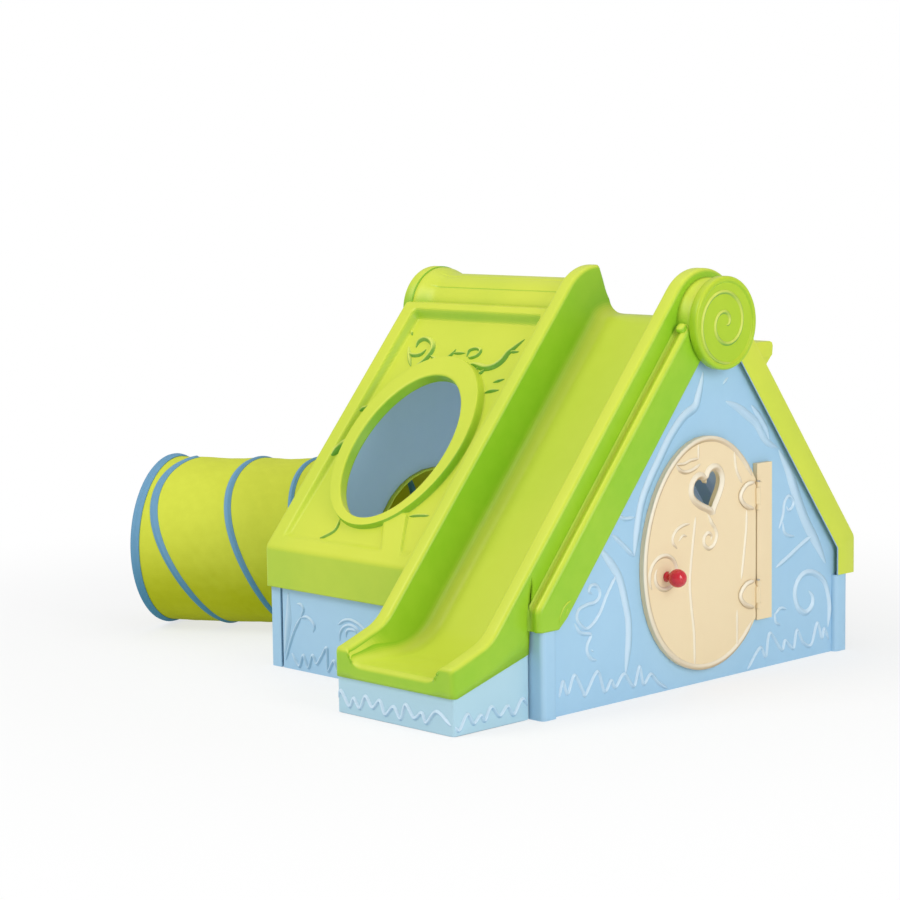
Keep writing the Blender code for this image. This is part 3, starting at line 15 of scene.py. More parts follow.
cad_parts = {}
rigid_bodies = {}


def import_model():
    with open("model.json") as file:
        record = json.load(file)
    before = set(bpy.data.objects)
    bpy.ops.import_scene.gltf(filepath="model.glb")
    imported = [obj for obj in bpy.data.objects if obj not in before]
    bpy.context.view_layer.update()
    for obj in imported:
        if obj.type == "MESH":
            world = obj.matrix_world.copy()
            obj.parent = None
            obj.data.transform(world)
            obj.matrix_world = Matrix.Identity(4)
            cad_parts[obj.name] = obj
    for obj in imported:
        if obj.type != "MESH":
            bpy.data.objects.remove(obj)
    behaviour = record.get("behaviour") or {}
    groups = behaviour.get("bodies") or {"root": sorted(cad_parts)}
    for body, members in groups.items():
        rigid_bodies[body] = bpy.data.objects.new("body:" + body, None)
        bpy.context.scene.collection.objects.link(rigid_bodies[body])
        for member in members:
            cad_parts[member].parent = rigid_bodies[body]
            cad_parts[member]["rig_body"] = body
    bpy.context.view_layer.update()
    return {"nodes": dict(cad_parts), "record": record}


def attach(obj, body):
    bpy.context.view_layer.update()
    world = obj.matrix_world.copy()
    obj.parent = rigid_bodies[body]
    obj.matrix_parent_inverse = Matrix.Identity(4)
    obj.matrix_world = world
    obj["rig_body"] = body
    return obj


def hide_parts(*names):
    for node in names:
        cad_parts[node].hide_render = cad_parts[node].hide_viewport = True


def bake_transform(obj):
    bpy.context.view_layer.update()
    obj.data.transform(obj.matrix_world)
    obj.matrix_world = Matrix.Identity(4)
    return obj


bl_info = {
    "name": "Moulded playhouse",
    "version": (1, 0, 0),
    "blender": (4, 5, 0),
    "location": "3D View > Sidebar > Playhouse",
    "description": "Builds the visible surfaces of a plastic playhouse over its CAD frame",
    "category": "Object",
}

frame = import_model()

# From house coordinates to the part's frame
SHIFT = np.array((0.877798, 0.08475, 0.0))

# House
LENGTH = 1.010
WALL = 0.005
PANEL_X = -0.015
RIDGE = np.array((0.050, 0.924))
SPLIT_X = -0.4558

# Front roof plane, as (y, z)
EAVE = np.array((-0.614, 0.327))
EAVE_RADIUS = 0.030
LIP_Z = 0.218
ROOF_REACH = 0.122
LEDGE_Z = 0.950
_gap = RIDGE - EAVE
_lift = math.asin(ROOF_REACH / np.linalg.norm(_gap))
ROOF_ANGLE = math.atan2(_gap[1], _gap[0]) + _lift
UP = np.array((math.cos(ROOF_ANGLE), math.sin(ROOF_ANGLE)))
OUT = np.array((-math.sin(ROOF_ANGLE), math.cos(ROOF_ANGLE)))
ROOF_LENGTH = float(np.linalg.norm(_gap)) * math.cos(_lift)

# Window panel
WINDOW = np.array((-0.714, 0.350))
WINDOW_HALF = np.array((0.173, 0.228))
RING_WIDTH = 0.050
RING_LIFT = 0.022
RING_RISE = 0.006
RING_WALL = 0.024
FIELD_LOW, FIELD_HIGH = 0.008, 0.026
LEDGE_RUN, LEFT_ROLL, RIGHT_ROLL = 0.034, 0.096, 0.038

# Slide
SLIDE_LEFT, SLIDE_RIGHT, SLIDE_FRONT = -0.455, -0.038, -0.864
RIM_WIDTH, RIM_RISE, RIM_ROUND = 0.047, 0.015, 0.012
BED_DEPTH, BED_FILLET = 0.115, 0.042
LIP_ROUND = 0.014
SADDLE_Z = 0.930
SKIRT_FRONT_Z, SKIRT_REAR_Z, SKIRT_DEPTH = 0.087, 0.160, 0.045
SHOULDER_DEPTH, SHOULDER_FACE, SHOULDER_FOOT_Y = 0.035, 0.130, -0.545
RAKE_X = 0.004
RUNOUT_RIM_Z, RUNOUT_BED_Z, RUNOUT_SLOPE = 0.166, 0.130, math.radians(20)
RIM_BEND, BED_BEND, CREST_BEND = 0.120, 0.160, 0.060
SADDLE_BACK_Y = 0.105
WALL_FACE_Y = EAVE[0] + 0.006

# Tunnel
TUNNEL_RADIUS = 0.245
TUNNEL_Z = 0.248
TUNNEL = np.array(((-1.042, 0.0), (-1.282, 0.0), (-1.440, -0.252), (-1.720, -0.370)))
HOOP_START, HOOP_PITCH, HOOP_LEAN, HOOP_TWIST, HOOP_RIPPLE = 0.0721, 0.1700, 0.0090, 0.0563, 0.0207
COLLAR_RADIUS, COLLAR_LIP, CLOTH_GAP, CLOTH_WALL = 0.226, 0.0045, 0.0005, 0.0016
CASING_TURNS, CASING_RADIUS, CASING_CROWN, CASING_INNER = 3.55, 0.2408, 0.0034, 0.2368

# Door
DOOR_Y, DOOR_Z, DOOR_HALF, DOOR_TAPER = 0.010, 0.337, (0.245, 0.301), 0.06
HINGE_EDGE_Y = 0.205
HEART_Y, HEART_Z, HEART_WIDTH, HEART_TILT = 0.012, 0.500, 0.108, math.radians(17)
KNOB = (-0.148, 0.296)


class PlayhouseSettings(bpy.types.PropertyGroup):
    """Sizes and finishes that can be changed before the pieces are built."""

    bead_half: FloatProperty(
        name="Bead half width", description="Half the width of a moulded relief line",
        default=0.0056, unit="LENGTH",
    )
    bead_rise: FloatProperty(
        name="Bead rise", description="Height of a moulded relief line above its panel",
        default=0.0036, unit="LENGTH",
    )
    edge_round: FloatProperty(
        name="Edge round", description="Radius on the edges of the flat moulded panels",
        default=0.0028, unit="LENGTH",
    )
    detail: IntProperty(
        name="Detail", description="Samples round the window panel's outline", default=520,
    )
    grain: FloatProperty(
        name="Grain", description="Depth of the plastic's fine surface texture", default=0.10,
    )
    wrinkle: FloatProperty(
        name="Wrinkle", description="Depth of the cloth's folds between the hoops",
        default=0.0034, unit="LENGTH",
    )
    ribbon_half: FloatProperty(
        name="Binding half width", description="Half the width of the blue binding on the tunnel",
        default=0.0084, unit="LENGTH",
    )
    key_power: FloatProperty(
        name="Key light", description="Power of the large soft light", default=40.0, unit="POWER",
    )
    fill: FloatProperty(
        name="Fill", description="Strength of the even light all round", default=0.50,
    )
    backdrop: FloatVectorProperty(
        name="Backdrop", description="Colour of the seamless backdrop", default=(1.0, 1.0, 1.0),
        subtype="COLOR",
    )


def settings():
    """The sizes and finishes in the sidebar."""
    return bpy.context.scene.playhouse


# Numbers and curves

def linear(colour):
    """Scene-linear values of an sRGB colour given from 0 to 255."""
    part = np.asarray(colour, float) / 255.0
    return np.where(part <= 0.04045, part / 12.92, ((part + 0.055) / 1.055) ** 2.4)


def smooth(value, low=0.0, high=1.0):
    """Smoothstep s(t) = t * t * (3 - 2 t) of a value between low and high."""
    share = np.clip((value - low) / (high - low), 0.0, 1.0)
    return share * share * (3.0 - 2.0 * share)


def mm(*values):
    """Flat points from millimetres: first, second, first, second and so on."""
    return np.array(values, float).reshape(-1, 2) / 1000


def join_rows(*parts):
    """Rows of several arrays, one after another."""
    return np.concatenate([np.asarray(part, float) for part in parts])


def line(start, end, count, last=False):
    """Points p = a + (b - a) t; the end point is left out unless last is set."""
    share = np.linspace(0.0, 1.0, count, endpoint=last)[:, None]
    return np.asarray(start, float) + (np.asarray(end, float) - np.asarray(start, float)) * share


def corner_arc(before, corner, after, radius, count):
    """Arc of a radius that touches both legs of a corner, from the first leg to the second."""
    before, corner, after = (np.asarray(point, float) for point in (before, corner, after))
    back = (before - corner) / np.linalg.norm(before - corner)
    ahead = (after - corner) / np.linalg.norm(after - corner)
    half = math.acos(float(np.clip(back @ ahead, -1.0, 1.0))) / 2
    middle = (back + ahead) / np.linalg.norm(back + ahead)
    centre = corner + middle * radius / math.sin(half)
    start = corner + back * radius / math.tan(half) - centre
    end = corner + ahead * radius / math.tan(half) - centre
    sweep = math.atan2(start[0] * end[1] - start[1] * end[0], float(start @ end))
    turn = np.linspace(0.0, sweep, count)
    across = np.stack((-start[1] * np.ones(count), start[0] * np.ones(count)), 1)
    return centre + start * np.cos(turn)[:, None] + across * np.sin(turn)[:, None]


def round_path(points, radius, count, runs):
    """A two-leg line with its corner rounded; runs are the samples on each leg."""
    arc = corner_arc(*points, radius, count)
    return join_rows(line(points[0], arc[0], runs[0]), arc, line(arc[-1], points[2], runs[1], True)[1:])


def spline(points, spacing=0.004):
    """Catmull-Rom curve through points: p(t) = half of (2 b + (c - a) t + ...) on each span."""
    points = np.asarray(points, float)
    ring = np.concatenate((2 * points[:1] - points[1:2], points, 2 * points[-1:] - points[-2:-1]))
    rows = []
    for a, b, c, d in zip(ring, ring[1:], ring[2:], ring[3:]):
        count = max(3, int(np.linalg.norm(c - b) / spacing) + 1)
        t = np.linspace(0.0, 1.0, count, endpoint=False)[:, None]
        rows.append(0.5 * (2 * b + (c - a) * t + (2 * a - 5 * b + 4 * c - d) * t ** 2
                           + (3 * b - a - 3 * c + d) * t ** 3))
    return np.concatenate(rows + [points[-1:]])


# Meshes

def quads(rows, columns, wrap_rows=False, wrap_columns=False, offset=0):
    """Corner numbers of the quads between neighbouring grid points."""
    u = np.arange(rows if wrap_rows else rows - 1)[:, None]
    v = np.arange(columns if wrap_columns else columns - 1)[None, :]
    after_u, after_v = (u + 1) % rows, (v + 1) % columns
    corners = (u * columns + v, u * columns + after_v, after_u * columns + after_v, after_u * columns + v)
    return np.stack([np.broadcast_to(item, (u.size, v.size)) for item in corners], -1).reshape(-1, 4) + offset


def build(name, points, faces, caps=(), house=True):
    """Mesh object from (n, 3) points, quad rows and a few many-sided caps."""
    points = np.asarray(points, float).reshape(-1, 3)
    if house:
        points = points + SHIFT
    mesh = bpy.data.meshes.new(name)
    mesh.from_pydata(points.tolist(), [], faces.tolist() + [list(cap) for cap in caps])
    mesh.update()
    item = bpy.data.objects.new(name, mesh)
    bpy.context.scene.collection.objects.link(item)
    mesh.shade_smooth()
    return item


def surface(name, points, wrap_u=False, wrap_v=False, flip=False):
    """Grid surface from points[u, v, 3]."""
    rows, columns = points.shape[:2]
    faces = quads(rows, columns, wrap_u, wrap_v)
    return build(name, points, faces[:, ::-1] if flip else faces)


def thicken(item, thickness):
    """Give a skin its wall on the inner side."""
    wall = item.modifiers.new("wall", "SOLIDIFY")
    wall.thickness = thickness
    wall.offset = -1.0
    wall.use_even_offset = False
    return item


def face_array(mesh, name, width=1, kind=float):
    """One property of every face, as rows of an array."""
    values = np.zeros(len(mesh.polygons) * width, kind)
    mesh.polygons.foreach_get(name, values)
    return values.reshape(-1, width)


def store(mesh, name, values):
    """Keep one number per point as a named attribute."""
    layer = mesh.attributes.new(name, "FLOAT", "POINT")
    layer.data.foreach_set("value", np.asarray(values, np.float32).ravel())


def store_faces(mesh, name, values):
    """Keep one number per face as a named attribute on the face's corners."""
    layer = mesh.attributes.new(name, "FLOAT", "CORNER")
    sizes = face_array(mesh, "loop_total", kind=int)[:, 0]
    layer.data.foreach_set("value", np.repeat(values, sizes).astype(np.float32))


def face_light(item, direction, low=-0.2, high=0.75):
    """Store painted light and shade for each face: how far it turns toward a direction, from 0 at low to 1 at
    high.
    """
    towards = np.asarray(direction, float) / np.linalg.norm(direction)
    share = smooth(face_array(item.data, "normal", 3) @ towards, low, high)
    store_faces(item.data, "painted_light", share)


def inner_tone(item):
    """Mark a rear roof panel's inner faces, and its flange at the split, as the cabin's lining."""
    normals, centres = face_array(item.data, "normal", 3), face_array(item.data, "center", 3)
    below = smooth(normals @ LINING_SIDE, 0.70, 0.78)
    at_split = np.abs(centres[:, 0] - SPLIT_X - SHIFT[0]) < 0.012
    flange = at_split & (np.abs(normals[:, 0]) > 0.9)
    store_faces(item.data, "inside", np.where(flange, 1.0, below))


def from_cad(node, material, slot_name, direction, rounded=None):
    """A merged, softened copy of a CAD node that stands for it."""
    source = frame["nodes"][node]
    mesh = source.data.copy()
    item = bpy.data.objects.new(node + "_skin", mesh)
    bpy.context.scene.collection.objects.link(item)
    weld(mesh)
    mesh.shade_smooth()
    # painted light and shade by how each face turns toward direction
    face_light(item, direction)
    bevel = item.modifiers.new("edges", "BEVEL")
    bevel.width = settings().edge_round if rounded is None else rounded
    bevel.segments = 3
    bevel.limit_method = "ANGLE"
    bevel.angle_limit = math.radians(32)
    bevel.harden_normals = True
    bevel.miter_outer = "MITER_ARC"
    return dress(item, material, slot_name, source["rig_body"], node)


def weld(mesh):
    """Merge the split corners of an imported mesh and drop its stored normals."""
    shape = bmesh.new()
    shape.from_mesh(mesh)
    bmesh.ops.remove_doubles(shape, verts=shape.verts[:], dist=0.00002)
    for edge in shape.edges:
        edge.smooth = True
    shape.to_mesh(mesh)
    shape.free()
    for name in ("custom_normal", "sharp_edge", "sharp_face"):
        if name in mesh.attributes:
            mesh.attributes.remove(mesh.attributes[name])


def dress(item, material, slot_name, body, *nodes):
    """Give a piece its material, its moving body and the nodes it stands for; slot_name is not used."""
    item.data.materials.clear()
    item.data.materials.append(material)
    if body:
        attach(item, body)
    if nodes:
        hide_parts(*nodes)
    return item


def beads(name, strokes, lay, sink):
    """Closed raised lines on a panel.

    Each stroke is (points, width, rise, taper). Across the line the height is
    h(s) = rise * (1 - s * s) ** 1.5 for s from -1 to 1, and both ends taper off.
    lay turns flat points and heights into house coordinates.
    """
    values = settings()
    section = np.array((-1.0, -0.78, -0.52, -0.26, 0.0, 0.26, 0.52, 0.78, 1.0))
    bell = (1 - section ** 2) ** 1.5
    ring = len(section) + 2
    points, faces, caps, offset = [], [], [], 0
    for path, width, rise, taper in strokes:
        path = spline(path)
        ahead = np.gradient(path, axis=0)
        ahead /= np.linalg.norm(ahead, axis=1)[:, None] + 1e-12
        side = np.stack((-ahead[:, 1], ahead[:, 0]), 1)
        travel = np.concatenate(((0,), np.cumsum(np.linalg.norm(np.diff(path, axis=0), axis=1))))
        half = width * values.bead_half
        reach = taper * half
        ends = np.minimum(travel, travel[-1] - travel) / max(reach, 1e-6)
        share = np.sqrt(np.clip(ends, 0.02, 1.0))[:, None]
        across = path[:, None] + side[:, None] * (section * half)[None, :, None] * share[..., None]
        height = bell[None] * rise * values.bead_rise * share
        top = lay(across.reshape(-1, 2), height.reshape(-1)).reshape(len(path), -1, 3)
        low = np.stack((across[:, -1], across[:, 0]), 1)
        bottom = lay(low.reshape(-1, 2), np.full(len(path) * 2, -sink)).reshape(len(path), 2, 3)
        body = np.concatenate((top, bottom), 1)
        points.append(body.reshape(-1, 3))
        faces.append(quads(len(path), ring, False, True, offset)[:, ::-1])
        caps.append(list(range(offset, offset + ring)))
        last = offset + (len(path) - 1) * ring
        caps.append(list(range(last, last + ring))[::-1])
        offset += len(path) * ring
    item = build(name, np.concatenate(points), np.concatenate(faces), caps)
    fix_outward(item)
    return item


def relief(name, strokes, lay, light, finish, slot_name, body="house", sink=0.0012):
    """Raised lines with painted light and shade, finished and riding their panel's body."""
    item = beads(name, strokes, lay, sink)
    face_light(item, *light)
    return dress(item, plastic(finish), slot_name, body)


def skin(item, outer, light, wall, finish, slot_name, *nodes):
    """Turn an open skin outward, give it painted light and shade by how each face turns, give it its wall and
    finish it for the house.
    """
    check_facing(item, outer)
    face_light(item, *light)
    thicken(item, wall)
    return dress(item, plastic(finish), slot_name, "house", *nodes)


def fix_outward(item):
    """Turn every closed shell's faces outward."""
    shape = bmesh.new()
    shape.from_mesh(item.data)
    bmesh.ops.recalc_face_normals(shape, faces=shape.faces[:])
    shape.to_mesh(item.data)
    shape.free()
    item.data.shade_smooth()


# Materials

class Value:
    """A shader socket that takes part in arithmetic."""

    def __init__(self, paint, socket):
        self.paint = paint
        self.socket = socket

    def calc(self, operation, *others):
        return self.paint.add("ShaderNodeMath", {"operation": operation}, dict(enumerate((self, *others))))

    def __add__(self, other):
        return self.calc("ADD", other)

    __radd__ = __add__

    def __mul__(self, other):
        return self.calc("MULTIPLY", other)

    __rmul__ = __mul__

    def ramp(self, low, high):
        """Smoothstep of the value between low and high."""
        kind = {"interpolation_type": "SMOOTHSTEP"}
        inputs = {"Value": self, "From Min": low, "From Max": high}
        return self.paint.add("ShaderNodeMapRange", kind, inputs, "Result")


class Paint:
    """One material, written as arithmetic on sockets."""

    def __init__(self, name):
        self.material = bpy.data.materials.new(name)
        self.material.use_nodes = True
        self.tree = self.material.node_tree
        self.shader = self.tree.nodes["Principled BSDF"]
        self.output = self.tree.nodes["Material Output"]

    def plug(self, socket, value):
        if isinstance(value, Value):
            self.tree.links.new(value.socket, socket)
        elif hasattr(socket.default_value, "__len__"):
            value = tuple(float(part) for part in value)
            socket.default_value = (*value, 1.0) if len(socket.default_value) > len(value) else value
        else:
            socket.default_value = value

    def add(self, kind, options=None, inputs=None, output=0):
        node = self.tree.nodes.new(kind)
        for key, value in (options or {}).items():
            setattr(node, key, value)
        for key, value in (inputs or {}).items():
            self.plug(node.inputs[key], value)
        return Value(self, node.outputs[output])

    def place(self):
        return self.add("ShaderNodeTexCoord", output="Object")

    def stretch(self, vector, scale):
        return self.add("ShaderNodeVectorMath", {"operation": "MULTIPLY"}, {0: vector, 1: scale})

    def noise(self, vector, scale, detail=3.0, roughness=0.55):
        inputs = {"Vector": vector, "Scale": scale, "Detail": detail, "Roughness": roughness}
        return self.add("ShaderNodeTexNoise", None, inputs)

    def mix(self, share, first, second):
        node = self.tree.nodes.new("ShaderNodeMix")
        node.data_type = "RGBA"
        for key, value in (("Factor_Float", share), ("A_Color", first), ("B_Color", second)):
            self.plug(next(item for item in node.inputs if item.identifier == key), value)
        return Value(self, next(item for item in node.outputs if item.identifier == "Result_Color"))

    def attribute(self, name):
        return self.add("ShaderNodeAttribute", {"attribute_name": name}, output="Fac")

    def bump(self, height, strength, distance):
        inputs = {"Height": height, "Strength": strength, "Distance": distance}
        return self.add("ShaderNodeBump", None, inputs)

    def finish(self, colour, roughness, normal=None, **constants):
        self.plug(self.shader.inputs["Base Color"], colour)
        self.plug(self.shader.inputs["Roughness"], roughness)
        if normal is not None:
            self.plug(self.shader.inputs["Normal"], normal)
        for key, value in constants.items():
            self.shader.inputs[key.replace("_", " ")].default_value = value
        return self.material


# Moulded plastics: painted shade tone, painted lit tone, roughness and clear coat
PLASTICS = {
    "light_blue_moulding": ((146, 192, 222), (180, 216, 240), 0.42, 0.0),
    "light_blue_relief": ((142, 186, 214), (214, 235, 250), 0.40, 0.0),
    "pale_blue_moulding": ((166, 205, 222), (188, 221, 234), 0.42, 0.0),
    "lime_moulding": ((128, 188, 40), (216, 226, 70), 0.38, 0.0),
    "lime_relief": ((92, 160, 46), (226, 234, 104), 0.36, 0.0),
    "green_moulding": ((142, 198, 38), (214, 226, 72), 0.38, 0.0),
    "disc_moulding": ((158, 200, 36), (196, 216, 50), 0.34, 0.0),
    "cream_moulding": ((234, 212, 170), (243, 223, 184), 0.44, 0.0),
    "cream_relief": ((184, 156, 112), (255, 245, 222), 0.42, 0.0),
    "red_moulding": ((190, 12, 34), (214, 20, 44), 0.16, 0.5),
}
LINING = (172, 194, 224)

PAINTS = {}


def plastic(name):
    """Moulded plastic: painted light and shade as two tones by how a face is turned, faint mottling, scuffs
    and orange peel.
    """
    if name in PAINTS:
        return PAINTS[name]
    shaded, lit, roughness, coat = PLASTICS[name]
    paint = Paint(name)
    spot = paint.place()
    broad = paint.noise(spot, 2.3, 2.0).ramp(0.35, 0.65)
    mottle = paint.noise(spot, 26.0, 4.0).ramp(0.3, 0.7)
    scuff = paint.noise(paint.stretch(spot, (9.0, 60.0, 22.0)), 1.0, 5.0, 0.7).ramp(0.60, 0.78)
    peel = paint.noise(spot, 420.0, 2.0)
    # painted light and shade: lit tone where a face turns toward the chosen side, shaded tone elsewhere,
    # blended with broad random tone
    share = paint.attribute("painted_light") * 0.86 + broad * 0.14
    colour = paint.mix(share, linear(shaded), linear(lit))
    colour = paint.mix(paint.attribute("inside"), colour, linear(LINING))
    pale = np.clip(linear(lit) * 1.10 + 0.03, 0.0, 0.95)
    colour = paint.mix(mottle * 0.05 + scuff * 0.05, colour, pale)
    rough = mottle * 0.05 + scuff * 0.10 + (roughness - 0.03)
    normal = paint.bump(peel + mottle * 0.4, settings().grain, 0.0004)
    PAINTS[name] = paint.finish(colour, rough, normal, Coat_Weight=coat, Coat_Roughness=0.25,
                                Specular_IOR_Level=0.5 if coat else 0.36)
    return PAINTS[name]


def cloth(name, dark, light, weave):
    """Woven cloth: painted light and shade by how a face is turned, threads sin(w u) sin(w v) of pitch 2 pi /
    w, slubs and soft fading.
    """
    if name in PAINTS:
        return PAINTS[name]
    paint = Paint(name)
    spot = paint.place()
    around = paint.attribute("around")
    lengthwise = paint.attribute("lengthwise")
    warp = (around * weave).calc("SINE")
    weft = (lengthwise * weave).calc("SINE")
    thread = warp * weft * 0.5 + 0.5
    slub = paint.noise(spot, 40.0, 4.0).ramp(0.35, 0.7)
    fade = paint.noise(spot, 3.1, 2.0).ramp(0.3, 0.7)
    # painted light and shade: the light tone on faces turned toward the chosen side, the dark tone elsewhere,
    # with random fading and slubs
    share = paint.attribute("painted_light") * 0.8 + fade * 0.12 + slub * 0.08
    colour = paint.mix(share, linear(dark), linear(light))
    colour = paint.mix(thread * 0.10, colour, linear(dark) * 0.8)
    normal = paint.bump(thread * 0.6 + slub * 0.4, 0.25, 0.0006)
    rough = slub * 0.08 + 0.72
    PAINTS[name] = paint.finish(colour, rough, normal, Specular_IOR_Level=0.15)
    return PAINTS[name]


# Words in the names of the plated steel parts
HARDWARE = ("screw", "pin", "beam")


def steel():
    """Zinc-plated steel with fine turning marks and dull spots."""
    if "steel" in PAINTS:
        return PAINTS["steel"]
    paint = Paint("plated_steel")
    spot = paint.place()
    marks = paint.noise(paint.stretch(spot, (900.0, 900.0, 120.0)), 1.0, 3.0)
    dull = paint.noise(spot, 60.0, 4.0).ramp(0.4, 0.7)
    colour = paint.mix(dull, linear((196, 198, 202)), linear((150, 152, 156)))
    normal = paint.bump(marks, 0.15, 0.0003)
    PAINTS["steel"] = paint.finish(colour, dull * 0.15 + 0.28, normal, Metallic=1.0)
    return PAINTS["steel"]


# Side painted lit for each kind of piece; those with limits are painted fully shaded below the first, fully
# lit above the second
WALL_LIGHT = (0.3, -0.4, 1.0)
DOOR_LIGHT = (0.3, -0.2, 1.0)
RELIEF_LIGHT = ((0.25, -0.75, 0.6), -0.35, 0.85)
SHOULDER_LIGHT = ((-0.05, -0.25, 1.0), 0.10, 0.80)
CLOTH_LIGHT = ((0.35, -0.45, 1.0), -0.25, 0.85)
LINING_SIDE = np.array((0.0, -0.79, -0.61))


# Roof and window panel

def shoulder_map(reach, depth):
    """Front roof profile at an unrolled reach from the lip's foot and a depth below its face."""
    radius = np.maximum(EAVE_RADIUS - depth, 0.004)
    lip = np.array((-1.0, 0.0))
    step = (lip + OUT) / (1.0 + lip @ OUT)
    centre = EAVE - step * (depth + radius)[..., None]
    sweep = math.pi / 2 - ROOF_ANGLE
    first = EAVE[1] - step[1] * EAVE_RADIUS - LIP_Z
    second = first + EAVE_RADIUS * sweep
    foot = np.stack((EAVE[0] + depth, np.full_like(depth, LIP_Z)), -1)
    start = centre + lip * radius[..., None]
    on_lip = foot + (start - foot) * np.clip(reach / first, 0.0, 1.0)[..., None]
    turn = np.clip((reach - first) / EAVE_RADIUS, 0.0, sweep)
    on_arc = centre + np.stack((-np.cos(turn), np.sin(turn)), -1) * radius[..., None]
    begin = (centre + OUT * radius[..., None] - EAVE) @ UP
    flat_begin = float((-step * EAVE_RADIUS + OUT * EAVE_RADIUS) @ UP)
    top = (LEDGE_Z - EAVE[1]) / UP[1] - 0.004
    share = np.clip((reach - second) / (top - flat_begin), 0.0, 1.0)
    distance = begin + (top - begin) * share
    on_slope = EAVE + UP * distance[..., None] - OUT * depth[..., None]
    third = second + top - flat_begin
    bend = 0.008
    swing = np.clip((reach - third) / bend, 0.0, ROOF_ANGLE)
    spin = np.stack((-np.sin(ROOF_ANGLE - swing), np.cos(ROOF_ANGLE - swing)), -1)
    run = np.maximum(reach - third - bend * ROOF_ANGLE, 0.0)
    on_ledge = on_slope + (spin - OUT) * bend + np.stack((run, run * 0.0), -1)
    out = np.where((reach < first)[..., None], on_lip, on_arc)
    out = np.where((reach > second)[..., None], on_ledge, out)
    return out, distance, third + bend * ROOF_ANGLE, second - flat_begin


def side_map(travel, left, right, bend=0.010):
    """x and depth of a panel whose two side edges roll over with a radius, by travel across it."""
    low, high = left + bend, right - bend
    past = np.maximum(low - travel, travel - high)
    turn = np.clip(past / bend, 0.0, math.pi / 2)
    depth = bend * (1 - np.cos(turn)) + np.maximum(past - bend * math.pi / 2, 0.0)
    x = np.clip(travel, low, high) + np.where(travel < low, -1.0, 1.0) * bend * np.sin(turn)
    return x, np.where(past > 0.0, depth, 0.0)


def field_depth(x, distance):
    """How far the window panel's field lies below its border at a point of the slope."""
    top = (LEDGE_Z - EAVE[1]) / UP[1]
    depth = FIELD_LOW + (FIELD_HIGH - FIELD_LOW) * distance / top
    sides = smooth(x, -LENGTH + 0.046, -LENGTH + 0.062) * smooth(-x, -SPLIT_X + 0.016, -SPLIT_X + 0.024)
    ends = smooth(distance, 0.030, 0.052) * smooth(-distance, -top + 0.016, -top + 0.043)
    left = -0.580 - (distance - 0.0205) * 0.595
    right = -0.506 - (distance - 0.0366) * 0.469
    block = smooth(x, left, left + 0.016) * smooth(right - x, 0.0, 0.0035)
    block = block * (1 - smooth(distance, 0.150, 0.165))
    return depth * sides * ends * (1 - 0.9 * block)


def window_panel():
    """The lime panel: unrolled sheet between the window's ellipse and the panel's outline.

    A point is lerp(ellipse(a), outline(a), t); the ring round the hole is a flat crown with a
    rounded inner edge, c(o) = r - sqrt(r * r - (r - o) ** 2), that steps down to the sunk field.
    """
    values = settings()
    ledge_reach, slope_start = shoulder_map(np.zeros(1), np.zeros(1))[2:]
    ledge_reach += LEDGE_RUN
    low_x, high_x = -LENGTH - LEFT_ROLL, SPLIT_X + RIGHT_ROLL
    centre = np.array((WINDOW[0], WINDOW[1] + slope_start))
    lift = np.array((0.0, RING_LIFT))
    per_side = values.detail // 4
    corners = [(high_x, 0.0), (high_x, ledge_reach), (low_x, ledge_reach), (low_x, 0.0), (high_x, 0.0)]
    outline = np.concatenate([line(a, b, per_side) for a, b in zip(corners, corners[1:])])
    offset = outline - centre - lift
    outer = WINDOW_HALF + RING_WIDTH
    angle = np.arctan2(offset[:, 1] / outer[1], offset[:, 0] / outer[0])
    spoke = np.stack((np.cos(angle), np.sin(angle)), 1)
    bend = 0.006
    ring = np.concatenate((bend * (1 - np.cos(np.linspace(0.0, math.pi / 2, 7)[:-1])),
                           np.linspace(bend, RING_WIDTH - 0.010, 7)[:-1],
                           np.linspace(RING_WIDTH - 0.010, RING_WIDTH + 0.001, 12)))
    wall = np.linspace(RING_WALL, 0.0, 9)[:-1]
    fan = np.linspace(0.0, 1.0, 64)[1:]
    outs = np.concatenate((np.zeros(len(wall)), ring, np.full(len(fan), ring[-1])))
    shares = np.concatenate((np.zeros(len(wall) + len(ring)), fan))
    raised = centre + lift * (outs / RING_WIDTH)[:, None, None]
    inner = raised + (WINDOW_HALF + outs[:, None, None]) * spoke[None]
    spread_out = inner + (outline[None] - inner) * shares[:, None, None]
    x, side_depth = side_map(spread_out[..., 0], -LENGTH, SPLIT_X)
    reach = spread_out[..., 1]
    sunk = field_depth(x, reach - slope_start)
    inset = np.clip(bend - outs, 0.0, bend)
    crown = -RING_RISE + bend - np.sqrt(bend ** 2 - inset ** 2)
    down = smooth(outs, RING_WIDTH - 0.007, RING_WIDTH)[:, None]
    depth = side_depth + sunk * down + crown[:, None] * (1 - down)
    depth[:len(wall)] += wall[:, None]
    pair = shoulder_map(reach, np.maximum(side_depth, 0.0))[0]
    pair = pair - OUT * (depth - side_depth)[..., None]
    points = np.stack((x, pair[..., 0], pair[..., 1]), -1)
    item = surface("window_panel_skin", points, False, True, flip=True)
    skin(item, (0.0, OUT[0], OUT[1]), ((-0.25, -0.15, 1.0), -0.35, 0.60), WALL * 0.8,
         "lime_moulding", "lime_plastic", "window_roof_panel")
    field_relief()
    return item


def check_facing(item, direction):
    """Flip a skin whose faces point away from its outer side."""
    normals, areas = face_array(item.data, "normal", 3), face_array(item.data, "area")[:, 0]
    if (normals @ np.asarray(direction, float) * areas).sum() < 0:
        item.data.flip_normals()


def lay_field(flat, height):
    """(x, distance up the slope) and height to house coordinates, on the window panel's field."""
    x, distance = flat[:, 0], flat[:, 1]
    pair = EAVE + UP * distance[:, None] + OUT * (height - field_depth(x, distance))[:, None]
    return np.column_stack((x, pair))


